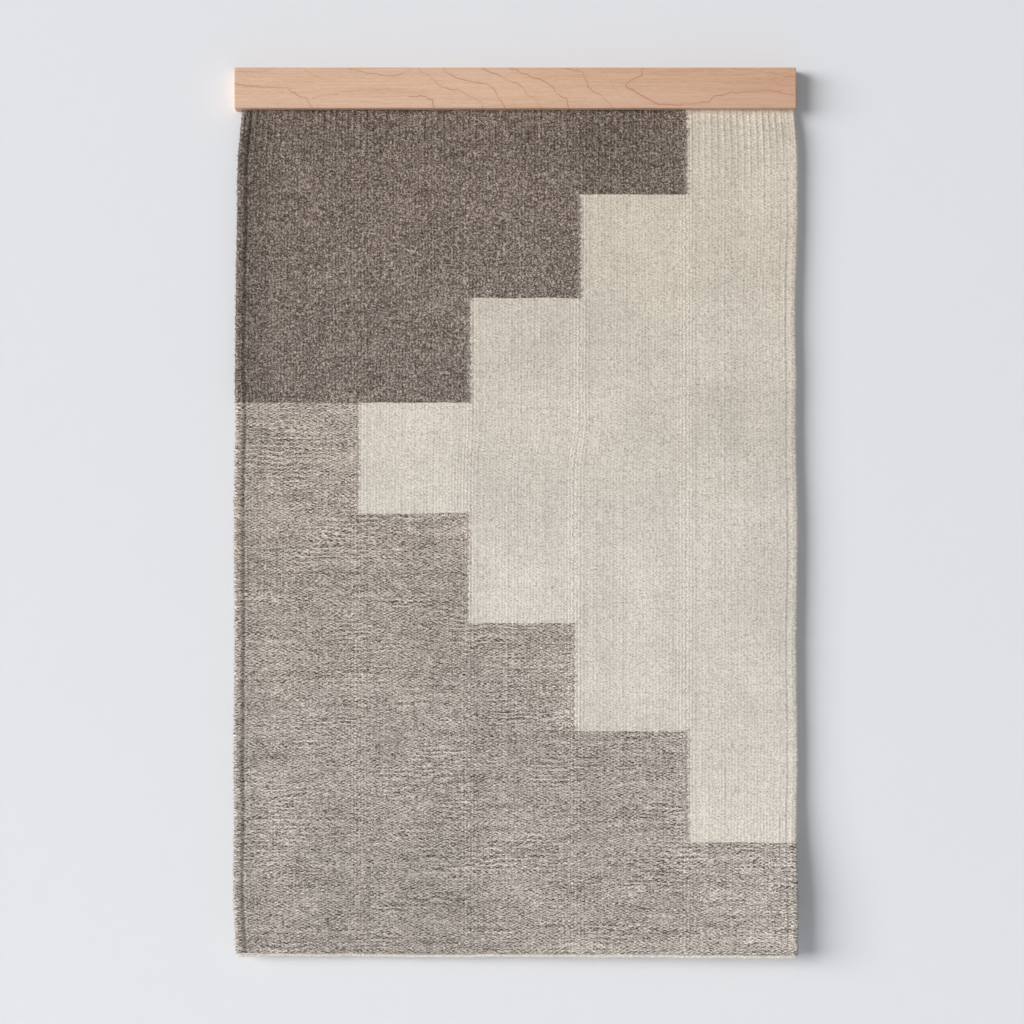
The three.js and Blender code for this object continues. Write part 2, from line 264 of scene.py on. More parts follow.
# ---------------------------------------------------------------- wool
def wool(name, light, dark, balance=0.5, checks=0.4, spread=0.4, flecks=1.0, grit=1.0, streaks=0.3, ribs=0.2, slip=0.3,
         hairs=0.3, neps=0.0, grain=0.2, pairs=0.0, specks=0.0, strands=1.0, nap=1.0, lines=0.0, warm=None, by_pick=False, sheen=(1, 0.97, 0.92, 1)):
    """Weft-faced wool. The map named weave holds warp and pick numbers.

    light and dark are the two plies of the yarn and balance the share of light. checks is the painted shade where the
    yarn dives under a warp, with painted light where it rides over, spread how much one bead differs from the next,
    flecks and grit the yarn's mottle at two sizes, streaks how much one pick differs from the next, ribs the painted
    shade in the grooves between warps, slip how far each pick lies out of step with the one above, hairs how many loose
    fibres lie on the face, grain and specks fine mottle and bright fibre ends, pairs how much the two strands of a pick
    differ, strands how many show per pick, and nap how raised it looks."""
    t = Tree(name)
    uv = t.add("ShaderNodeUVMap", uv_map="weave").outputs[0]
    w0, p0, _ = t.split(uv)
    tone = t.add("ShaderNodeAttribute", attribute_name="tone").outputs["Fac"]
    xm, zm = t.times(w0, 3.5), t.times(p0, 1.55)
    # picks wander up and down a little as they cross
    slow = t.noise(t.vec(t.times(xm, 0.030), t.times(zm, 0.045), 7.0), 1.0, 2.0, 0.5)
    p = t.plus(p0, t.mad(slow, 5.0, -2.5))
    row = t.math("FLOOR", p)
    # each pick lies a little out of step with the one above, and drifts further over many
    shift = t.white(t.vec(row, 11.0, 2.0))
    drift = t.noise(t.vec(t.times(xm, 0.008), t.times(row, 0.13), 2.0), 1.0, 2.0, 0.5)
    w = t.plus(t.plus(w0, t.mad(shift, 2 * slip, -slip)), t.mad(drift, 3.0, -1.5))
    i = t.math("FLOOR", w)
    a = t.math("FRACT", w0)
    ca = t.mad(a, 2.0, -1.0)
    rib = t.minus(1.0, t.times(ca, ca))
    wave = t.math("SINE", t.times(t.plus(w, row), math.pi))
    rnd = t.white(t.vec(i, row, 0.0))
    strand = t.math("FLOOR", t.times(p, strands))
    zp, zf = (t.times(strand, 1.37), t.times(strand, 2.71)) if by_pick else (t.times(zm, 0.50), t.times(zm, 0.90))
    ply = t.noise(t.vec(t.times(xm, 0.36 if by_pick else 0.42), zp, 0.0), 1.0, 1.0, 0.5)
    fine = t.noise(t.vec(t.times(xm, 0.80), zf, 3.0), 1.0, 1.0, 0.5)
    cloud = t.noise(t.vec(t.times(xm, 0.10), t.times(zm, 0.12), 17.0), 1.0, 2.0, 0.6)
    streak = t.noise(t.vec(t.times(xm, 0.012), t.times(row, 0.83), 1.0), 1.0, 3.0, 0.6)
    dash = t.noise(t.vec(t.times(w, 0.30), t.times(row, 1.37), 5.0), 1.0, 1.0, 0.5)
    band = t.noise(t.vec(t.times(xm, 0.010), t.times(zm, 0.040), 9.0), 1.0, 2.0, 0.5)
    # how strongly the over and under shows comes and goes
    much = t.noise(t.vec(t.times(xm, 0.020), t.times(row, 0.61), 13.0), 1.0, 1.0, 0.5)

    f = t.mad(t.minus(rnd, 0.5), spread, balance)
    # painted shade where each pick dives under a warp, painted light where it rides over
    f = t.plus(f, t.times(wave, t.times(t.mad(much, 2.4, -0.4), checks * 0.5)))
    f = t.plus(f, t.times(t.minus(ply, 0.5), flecks))
    f = t.plus(f, t.times(t.minus(fine, 0.5), grit))
    f = t.plus(f, t.times(t.minus(dash, 0.5), streaks * 1.3))
    f = t.plus(f, t.times(t.minus(streak, 0.5), streaks * 2.0))
    f = t.plus(f, t.times(t.minus(band, 0.5), streaks * 0.9))
    f = t.plus(f, t.times(t.minus(cloud, 0.5), flecks * 0.30))
    # painted shade in the grooves between warps, lighter on each warp's crest
    f = t.plus(f, t.times(t.minus(rib, 0.67), ribs))
    if grain:
        gx = t.math("FLOOR", t.plus(t.times(xm, 0.87 / 1.15), t.times(zm, 0.5 / 1.15)))
        gz = t.math("FLOOR", t.plus(t.times(xm, -0.5 / 1.0), t.times(zm, 0.87 / 1.0)))
        f = t.plus(f, t.times(t.minus(t.white(t.vec(gx, gz, 3.0)), 0.5), grain))
    if specks:
        # short bright ends of fibre standing out of the nap
        for deg, seed in ((20, 71.0), (72, 73.0), (-34, 79.0)):
            c_, s_ = math.cos(math.radians(deg)), math.sin(math.radians(deg))
            gx = t.math("FLOOR", t.plus(t.times(xm, c_ / 2.3), t.times(zm, s_ / 2.3)))
            gz = t.math("FLOOR", t.plus(t.times(xm, -s_ / 0.8), t.times(zm, c_ / 0.8)))
            f = t.plus(f, t.times(t.step(t.white(t.vec(gx, gz, seed)), 0.80, 1.0), specks))
    if pairs:
        pr = t.math("FLOOR", t.times(strand, 0.5))
        sign = t.mad(t.minus(strand, t.times(pr, 2.0)), -2.0, 1.0)
        f = t.plus(f, t.times(t.times(sign, t.minus(t.noise(t.vec(t.times(xm, 0.42), t.times(pr, 1.93), 61.0), 1.0, 1.0, 0.5), 0.5)), 2 * pairs))
    if by_pick:
        # painted light on each strand's crest and painted shade between strands, so that each strand looks round
        across = t.mad(t.math("FRACT", t.times(p, strands)), 2.0, -1.0)
        f = t.plus(f, t.times(t.minus(0.33, t.times(across, across)), 0.22))
    if lines:
        # in places every third or fourth pick shows its light strand all along
        third = t.math("FRACT", t.plus(t.times(row, 0.30), t.times(slow, 1.3)))
        where = t.step(t.noise(t.vec(t.times(xm, 0.011), t.times(zm, 0.020), 83.0), 1.0, 1.0, 0.5), 0.42, 0.66)
        f = t.plus(f, t.times(t.times(t.mad(t.step(third, 0.62, 0.70), 1.0, -0.30), where), lines))
    # loose fibres lying every way
    if hairs:
        bend = t.noise(t.vec(t.times(xm, 0.22), t.times(zm, 0.22), 21.0), 1.0, 0.0, 0.5)
        for deg, seed in ((24, 31.0), (78, 37.0), (-38, 41.0), (-10, 43.0), (50, 47.0)):
            c_, s_ = math.cos(math.radians(deg)), math.sin(math.radians(deg))
            u = t.plus(t.times(xm, c_ / 3.6), t.times(zm, s_ / 3.6))
            v = t.plus(t.plus(t.times(xm, -s_ / 0.85), t.times(zm, c_ / 0.85)), t.times(bend, 4.0))
            h = t.step(t.noise(t.vec(u, v, seed), 1.0, 0.0, 0.5), 0.66, 0.74)
            f = t.plus(f, t.times(h, hairs))
    col = t.mix(t.clip(f), dark, light)
    if neps:
        # a few dark specks of vegetable matter and stray wool
        spot = t.step(t.noise(t.vec(t.times(xm, 0.50), t.times(zm, 0.55), 53.0), 1.0, 0.0, 0.5), 0.765, 0.80)
        col = t.mix(t.times(spot, neps), col, rgb(120, 100, 80))
    col = t.scale_rgb(col, tone)
    if warm:
        # the upper part is tinted a little yellower
        amount, top, foot = warm
        away = t.mad(t.step(p0, top, foot), -amount, amount)
        col = t.mix(away, col, t.mix(1.0, col, (1.0, 0.955, 0.905, 1), blend="MULTIPLY"))
    t.put(t.bsdf.inputs["Base Color"], col)
    t.bsdf.inputs["Roughness"].default_value = 0.92
    t.bsdf.inputs["Specular IOR Level"].default_value = 0.12
    t.bsdf.inputs["Sheen Weight"].default_value = 0.15
    t.bsdf.inputs["Sheen Roughness"].default_value = 0.6
    t.bsdf.inputs["Sheen Tint"].default_value = sheen
    height = t.plus(t.times(wave, 0.16), t.plus(t.times(rnd, 0.14), t.plus(t.times(fine, 0.8), t.times(ply, 0.5))))
    t.put(t.bsdf.inputs["Normal"], t.bump(height, 0.00050, 0.7 * nap))
    return t.mat


# ---------------------------------------------------------------- metal
def metal(name, colour, rough=0.32, brushed=True):
    t = Tree(name)
    co = t.add("ShaderNodeTexCoord").outputs["Object"]
    x, y, z = t.split(co)
    lines = t.noise(t.vec(t.times(x, 3000.0), t.times(y, 3000.0), t.times(z, 260.0 if brushed else 3000.0)), 1.0, 2.0, 0.6)
    cloud = t.noise(co, 160.0, 3.0, 0.6)
    spots = t.step(t.noise(co, 900.0, 2.0, 0.5), 0.60, 0.72)
    r, g, b, _ = rgb(*colour)
    col = t.mix(t.clip(t.mad(cloud, 1.4, -0.35)), (r * 0.72, g * 0.72, b * 0.70, 1), (r, g, b, 1))
    col = t.mix(t.times(spots, 0.25), col, (r * 0.45, g * 0.42, b * 0.38, 1))
    t.put(t.bsdf.inputs["Base Color"], col)
    t.bsdf.inputs["Metallic"].default_value = 1.0
    t.put(t.bsdf.inputs["Roughness"], t.plus(t.mad(lines, 0.25, rough - 0.10), t.times(cloud, 0.12)))
    t.put(t.bsdf.inputs["Normal"], t.bump(t.plus(lines, t.times(cloud, 0.5)), 0.00002, 0.5))
    return t.mat


MAPLE = maple("maple_face", drawn=True)
MAPLE_BACK = maple("maple_back", dry=0.14, tone=0.98)
DARK = wool("dark_wool", rgb(198, 185, 175), rgb(72, 59, 52), balance=0.085, checks=0.12, spread=0.14, flecks=0.75, grit=1.35,
            streaks=0.16, ribs=0.16, slip=0.2, hairs=0.2, grain=0.35, specks=0.45, nap=0.35, warm=(0.9, 0, 190))
CREAM = wool("cream_wool", rgb(230, 224, 214), rgb(124, 110, 94), balance=0.77, checks=0.14, spread=0.16, flecks=0.98, grit=0.9,
             streaks=0.14, ribs=0.15, slip=0.15, hairs=0.12, neps=0.7, grain=0.0, nap=0.85, warm=(1.0, 10, 380))
HEATHER = wool("heather_wool", rgb(238, 229, 220), rgb(75, 63, 56), balance=0.41, checks=0.45, spread=0.22, flecks=1.15, grit=1.2,
               streaks=0.34, ribs=0.08, slip=0.10, hairs=0.10, grain=0.12, pairs=0.70, strands=1.7, lines=0.30,
               warm=(0.78, 230, 540), by_pick=True)
HEADING = wool("heading_wool", rgb(244, 239, 229), rgb(176, 162, 146), balance=0.80, checks=0.1, spread=0.2, flecks=0.9, grit=1.0,
               streaks=0.1, ribs=0.1, slip=0.3, hairs=0.1)
STEEL = metal("plate_steel", (205, 207, 210), 0.34)
ZINC = metal("screw_zinc", (214, 212, 202), 0.30, brushed=False)


# ---------------------------------------------------------------- mesh helpers
def make(name, verts, faces, mats, smooth_shade=True):
    me = bpy.data.meshes.new(name)
    verts = np.asarray(verts, np.float32)
    faces = np.asarray(faces, np.int32)
    n, k = faces.shape
    me.vertices.add(len(verts))
    me.vertices.foreach_set("co", verts.ravel())
    me.loops.add(n * k)
    me.loops.foreach_set("vertex_index", faces.ravel())
    me.polygons.add(n)
    me.polygons.foreach_set("loop_start", np.arange(0, n * k, k, dtype=np.int32))
    me.update(calc_edges=True)
    me.validate()
    for m in mats if isinstance(mats, (list, tuple)) else [mats]:
        me.materials.append(m)
    if smooth_shade:
        me.polygons.foreach_set("use_smooth", np.ones(len(me.polygons), bool))
    ob = bpy.data.objects.new(name, me)
    bpy.context.scene.collection.objects.link(ob)
    return ob


def corner_map(ob, name, per_vertex):
    """A UV map from one pair of numbers for each vertex."""
    me = ob.data
    layer = me.uv_layers.new(name=name)
    idx = np.empty(len(me.loops), np.int32)
    me.loops.foreach_get("vertex_index", idx)
    layer.data.foreach_set("uv", np.asarray(per_vertex, np.float32)[idx].ravel())


def point_value(ob, name, values):
    """A number for each vertex, for a material to read."""
    a = ob.data.attributes.new(name, "FLOAT", "POINT")
    a.data.foreach_set("value", np.asarray(values, np.float32))


FACES = {}


# ---------------------------------------------------------------- the cloth's plan
(dl, dh), (cl, ch), (hl, hh) = corners("dark_field"), corners("cream_field"), corners("heather_field")
(fl, fh), (bl, bh) = corners("front_slat"), corners("back_slat")
(kl, kh), (el, eh) = corners("clamped_heading"), corners("bottom_heading_cord")
BAR_BOTTOM = float(fl[2])
MID_Y = float((dl[1] + dh[1]) / 2)  # middle plane of the cloth
HALF = float((dh[1] - dl[1]) / 2)
FIELD_BOTTOM = float(hl[2])
TOP_IN_SLOT = BAR_BOTTOM + 2.4

PW = 3.50  # warp spacing, mm
PP = 1.55  # pick spacing, mm

# where the colours meet, in mm
KX_UP = [-171.2, -49.2, 70.7, 186.2]
KX_LOW = [-171.2, -51.3, 64.2, 186.2]
WARPS = [38, 35, 34, 34, 34]
ROW_Z = [-114.6, -226.9, -341.3, -461.2, -581.1, -698.8, -820.8]
BANDS = [TOP_IN_SLOT] + ROW_Z + [FIELD_BOTTOM]
PICKS = [max(4, int(round((BANDS[i] - BANDS[i + 1]) / PP))) for i in range(8)]

# outline of the two selvedges: height, x. The clamped top draws the cloth in.
LEFT = [(-19, -296.2), (-24, -296.3), (-44, -298.0), (-63, -300.2), (-87, -301.7), (-142, -301.9), (-196, -303.0), (-246, -303.7),
        (-327, -304.1), (-351, -302.9), (-377, -303.1), (-416, -304.5), (-480, -305.1), (-556, -304.5), (-610, -304.3), (-691, -305.1),
        (-743, -305.4), (-783, -304.6), (-839, -305.4), (-874, -305.5), (-900, -304.7), (-926, -303.2), (-943, -301.6)]
RIGHT = [(-19, 303.1), (-26, 303.4), (-38, 305.0), (-52, 306.3), (-76, 307.1), (-153, 307.2), (-172, 306.4), (-205, 305.6), (-246, 304.5),
         (-273, 304.6), (-299, 305.6), (-377, 305.2), (-456, 306.8), (-508, 307.0), (-610, 305.4), (-691, 306.5), (-743, 306.9),
         (-770, 306.0), (-822, 304.7), (-848, 305.2), (-874, 305.8), (-915, 306.0), (-943, 305.4)]


def along_list(z, pts):
    zs = np.array([p[0] for p in pts])[::-1]
    xs = np.array([p[1] for p in pts])[::-1]
    return np.interp(z, zs, xs)


def soft_list(z, pts):
    """The listed outline, with its corners rounded off."""
    return sum(along_list(z + d, pts) for d in (-12, -6, 0, 6, 12)) / 5


def drape(x, z):
    """How far the cloth's middle plane stands from its flat place, in mm. Negative is towards the viewer."""
    free = smooth((BAR_BOTTOM - z) / 150.0)
    # below the bar the cloth bellies a little off the wall, and its lower right corner has curled right out
    curl = -3.4 * smooth((BAR_BOTTOM - z) / 30.0)
    curl = curl - 15.2 * smooth((-730 - z) / 175.0) * (0.03 + 0.97 * smooth((x + 190) / 470.0))
    curl = curl - 1.6 * smooth((-800 - z) / 150.0) * smooth((-x - 120) / 200.0)
    # slack taken up in broad, very shallow folds that start where the cloth is drawn in
    folds = 0.95 * np.sin(x / 47.0 + 0.6 + 0.0021 * z) * free * smooth((-z) / 500.0 + 0.35)
    folds = folds + 0.8 * noise(x / 95.0, z / 170.0, 3) * free
    folds = folds + 0.40 * noise(x / 40.0, z / 60.0, 4) * free
    pucker = 0.45 * np.sin(x / 11.5 + 1.3 * noise(x / 60.0, 0.5, 9)) * np.exp(-((z - BAR_BOTTOM) / 46.0) ** 2) * smooth((BAR_BOTTOM - z) / 14.0)
    return curl + folds + pucker


# ---- grid of the whole cloth: rows are picks, columns are three to a warp
SUB = 3
col_seg = np.concatenate([np.full(n * SUB, s) for s, n in enumerate(WARPS)] + [[4]])
col_t = np.concatenate([np.arange(n * SUB) / (n * SUB) for n in WARPS] + [[1.0]])
COLS = len(col_t)
KEYS = np.cumsum([0] + [n * SUB for n in WARPS])
row_z = np.concatenate([BANDS[i] + (BANDS[i + 1] - BANDS[i]) * np.arange(PICKS[i]) / PICKS[i] for i in range(8)] + [[FIELD_BOTTOM]])
ROWS = len(row_z)
RKEY = np.cumsum([0] + PICKS)

col = np.arange(COLS)[None, :]
rowi = np.arange(ROWS)[:, None]
Z0 = np.repeat(row_z[:, None], COLS, 1)
L = soft_list(row_z, LEFT)[:, None]
R = soft_list(row_z, RIGHT)[:, None]
low = smooth((-360 - row_z) / 60.0)[:, None]
edges = [L] + [a * (1 - low) + b * low for a, b in zip(KX_UP, KX_LOW)] + [R]
X0 = np.zeros((ROWS, COLS))
for s in range(5):
    m = col_seg == s
    X0[:, m] = edges[s] + (edges[s + 1] - edges[s]) * col_t[m][None, :]

# warps wander, and picks are never quite level
X = X0 + 0.42 * noise(X0 / 26.0, Z0 / 34.0, 11) + 0.18 * noise(X0 / 7.0, Z0 / 11.0, 12)
key_fade = np.ones(COLS)
for k in KEYS:
    key_fade = np.minimum(key_fade, smooth(np.abs(np.arange(COLS) - k) / 9.0))
X = X0 + (X - X0) * key_fade[None, :]
wave = 0.60 * noise(X0 / 120.0, Z0 / 260.0, 21) + 0.55 * noise(X0 / 36.0, Z0 / 120.0, 22) + 0.30 * noise(X0 / 8.0, Z0 / 24.0, 23)
Z = Z0 + wave * smooth((BAR_BOTTOM - Z0) / 20.0)
Z = Z + (1.3 + 0.9 * smooth((X0 + 100) / 400.0)) * smooth((-600 - Z0) / 330.0)

# ---- teeth where two colours meet up and down: each yarn turns round the shared warp
def teeth(seed, amount):
    """One sideways shift for each pick, in runs of two to four picks."""
    rng = np.random.default_rng(seed)
    out, sign = [], 1.0
    while len(out) < ROWS:
        n = int(rng.choice([1, 2, 2, 2, 3]))
        a = amount * (0.35 + 1.1 * rng.random())
        out += [sign * a] * n
        sign = -sign
    return np.array(out[:ROWS])


TOOTH = {k: teeth(100 + k, 1.10) for k in range(1, 5)}
for k in range(1, 5):
    c = KEYS[k]
    for d, f in ((0, 1.0), (1, 0.55), (2, 0.2), (-1, 0.55), (-2, 0.2)):
        X[:, c + d] += TOOTH[k] * f * (row_z < BAR_BOTTOM + 1)

# ---- selvedges: doubled warps make a cord, and each turn of the weft makes a small loop
def loops(seed, amount, period=(2, 3, 3, 4)):
    rng = np.random.default_rng(seed)
    out = []
    while len(out) < ROWS:
        n = int(rng.choice(period))
        a = amount * (0.6 + 0.7 * rng.random())
        out += [a * math.sin(math.pi * (q + 0.5) / n) for q in range(n)]
    return np.array(out[:ROWS])


LOOP_L, LOOP_R = loops(7, 1.15), loops(8, 0.75)
for d, f in ((0, 1.0), (1, 0.85), (2, 0.55), (3, 0.2)):
    X[:, d] -= LOOP_L * f
    X[:, COLS - 1 - d] += LOOP_R * f

# ---- relief of the face and of the back, mm above the slab
warp_no = col / SUB
phase = (col % SUB) / SUB
at_warp = np.floor(warp_no).astype(int)
crest = np.where(col % SUB == 0, 0.0, 1.0)
lowright = smooth((X0 - 150) / 40.0) * smooth((-690 - Z0) / 60.0)
amp = 0.135 + 0.18 * np.exp(-((Z0 - BAR_BOTTOM) / 80.0) ** 2) + 0.09 * noise(X0 / 55.0, Z0 / 90.0, 31) + 0.07 * lowright
amp = amp + 0.02 * smooth((-430 - Z0) / 100.0)
# the clamp draws the warps together in twos, which fades out below
twos = 0.80 * np.exp(-((Z0 - BAR_BOTTOM) / 92.0) ** 2)
amp = np.maximum(amp, 0.04) * (1 + (1 - twos) * (0.45 * white(at_warp, 0, 30) + 0.55 * noise(at_warp * 0.73, Z0 / 45.0, 38)))
amp = amp * (1 + twos * np.where(at_warp % 2 == 0, 1.0, -1.0))
rib = amp * crest
over = np.where((at_warp + rowi) % 2 == 0, 1.0, -1.0)
bead_amp = 0.06 + 0.04 * noise(X0 / 30.0, Z0 / 20.0, 32)
per_bead = 0.10 * white(at_warp, rowi, 33)
per_pick = 0.06 * noise(X0 / 45.0, rowi * 0.9, 34)
matted = 0.17 * noise(X0 / 2.8, Z0 / 2.6, 37) + 0.10 * noise(X0 / 14.0, Z0 / 14.0, 35)
FACE = rib + crest * (bead_amp * over + per_bead) + per_pick + matted
BACK = rib + crest * (-bead_amp * over + 0.10 * white(at_warp, rowi, 43)) + per_pick + 0.10 * noise(X0 / 14.0, Z0 / 14.0, 36)
# fuller ribs beside each upright join
TONE = 1 + 0.055 * noise(X0 / 70.0, Z0 / 90.0, 71) + 0.03 * noise(X0 / 20.0, Z0 / 24.0, 72) + 0.02 * white(at_warp, 0, 73)
for k in range(1, 5):
    d = np.abs(np.arange(COLS) - KEYS[k]) / SUB
    full = 0.44 * np.exp(-((d - 0.7) / 0.42) ** 2) + 0.38 * np.exp(-((d - 1.75) / 0.36) ** 2) + 0.28 * np.exp(-((d - 2.8) / 0.36) ** 2)
    FACE = FACE + full[None, :] * (crest > 0)
    BACK = BACK + full[None, :] * (crest > 0)
    # painted light on the fuller ribs beside each join and painted shade in the grooves between them
    TONE = TONE + ((full - 0.20) * 0.42 * (d < 3.4))[None, :]
# selvedge cords and the groove inside them
xl, xr = X0 - L, R - X0
FACE = FACE + 0.55 * np.exp(-((xl - 4.2) / 3.4) ** 2) - 0.95 * np.exp(-((xl - 9.4) / 1.3) ** 2)
FACE = FACE + 0.40 * np.exp(-((xr - 4.2) / 3.6) ** 2) - 0.30 * np.exp(-((xr - 9.8) / 1.5) ** 2)
BACK = BACK + 0.55 * np.exp(-((xl - 4.2) / 3.4) ** 2) - 0.80 * np.exp(-((xl - 9.4) / 1.3) ** 2)
BACK = BACK + 0.40 * np.exp(-((xr - 4.2) / 3.6) ** 2) - 0.30 * np.exp(-((xr - 9.8) / 1.5) ** 2)
# painted shade in the groove inside each selvedge cord, and painted light and shade on the edge loops, lighter where a
# loop stands further out
TONE = TONE - 0.42 * np.exp(-((xl - 9.4) / 1.5) ** 2) - 0.12 * np.exp(-((xr - 9.8) / 1.5) ** 2)
TONE = TONE + (LOOP_L[:, None] - 0.55) * 0.62 * np.exp(-(xl / 3.0) ** 2) + (LOOP_R[:, None] - 0.35) * 0.25 * np.exp(-(xr / 2.5) ** 2)
# painted shade: the cloth within about 60 mm below the bar is a little darker, and a painted lightening in the first 13
# mm offsets the bar's cast shadow there
TONE = TONE - 0.05 * np.exp(-((Z0 - BAR_BOTTOM) / 60.0) ** 2) + 0.13 * np.exp(-((Z0 - BAR_BOTTOM) / 13.0) ** 2)
# painted light and shade on the paired ribs near the bar: every other warp's crest a shade lighter, the next a shade
# darker
TONE = TONE + 0.028 * twos * np.where(at_warp % 2 == 0, 1.0, -1.0) * crest
SLAB = HALF - 0.42


def patch(x, z, rx, rz):
    """A soft round patch, 1 in the middle."""
    return np.exp(-((X0 - x) / rx) ** 2 - ((Z0 - z) / rz) ** 2)


# slow changes of tone, one set per yarn, in broad patches; the cream's narrow lift just under the bar is painted light
# against the bar's cast shadow, and the heather's lift in its lower right corner is painted light where the cloth curls
# towards the lamp
SHADE = {
    "dark": -0.20 * smooth((-256 - X0) / 34.0) + 0.14 * smooth((-20 - Z0) / 330.0) - 0.04
    - 0.07 * smooth((-120 - X0) / 100.0) - 0.19 * patch(105, -70, 52, 62) - 0.16 * patch(-72, -322, 40, 40)
    + 0.05 * patch(-50, -190, 130, 110),
    "cream": 0.085 * smooth((-420 - Z0) / 120.0) - 0.012 + 0.06 * smooth((-30 - X0) / 60.0)
    # painted light: lifts the cream just under the bar, offsetting the bar's cast shadow
    + 0.11 * np.exp(-((Z0 - BAR_BOTTOM) / 5.5) ** 2)
    - 0.12 * patch(235, -590, 130, 140) - 0.08 * patch(105, -190, 55, 75),
    "heather": -0.03 * smooth((-560 - Z0) / 200.0) - 0.10 * smooth((-262 - X0) / 26.0)
    # painted light, with the last term: lightens the lower right corner where the cloth curls towards the lamp
    + 0.10 * smooth((X0 - 160) / 60.0) * smooth((-800 - Z0) / 40.0) + 0.22 * patch(90, -650, 70, 45)
    - 0.15 * patch(-115, -890, 90, 75) - 0.07 * patch(-110, -620, 90, 90)
    + 0.05 * smooth((-190 - X0) / 50.0) * smooth((-440 - Z0) / 80.0)
    + 0.09 * smooth((X0 - 235) / 40.0) * smooth((-870 - Z0) / 40.0),
}


def in_band(band):
    """Column ranges of the three colours in one band: dark, cream, heather."""
    end = COLS - 1
    K = [int(v) for v in KEYS]
    return {
        0: {"dark": (0, K[4]), "cream": (K[4], end)},
        1: {"dark": (0, K[3]), "cream": (K[3], end)},
        2: {"dark": (0, K[2]), "cream": (K[2], end)},
        3: {"heather": (0, K[1]), "cream": (K[1], end)},
        4: {"heather": (0, K[2]), "cream": (K[2], end)},
        5: {"heather": (0, K[3]), "cream": (K[3], end)},
        6: {"heather": (0, K[4]), "cream": (K[4], end)},
        7: {"heather": (0, end)},
    }[band]


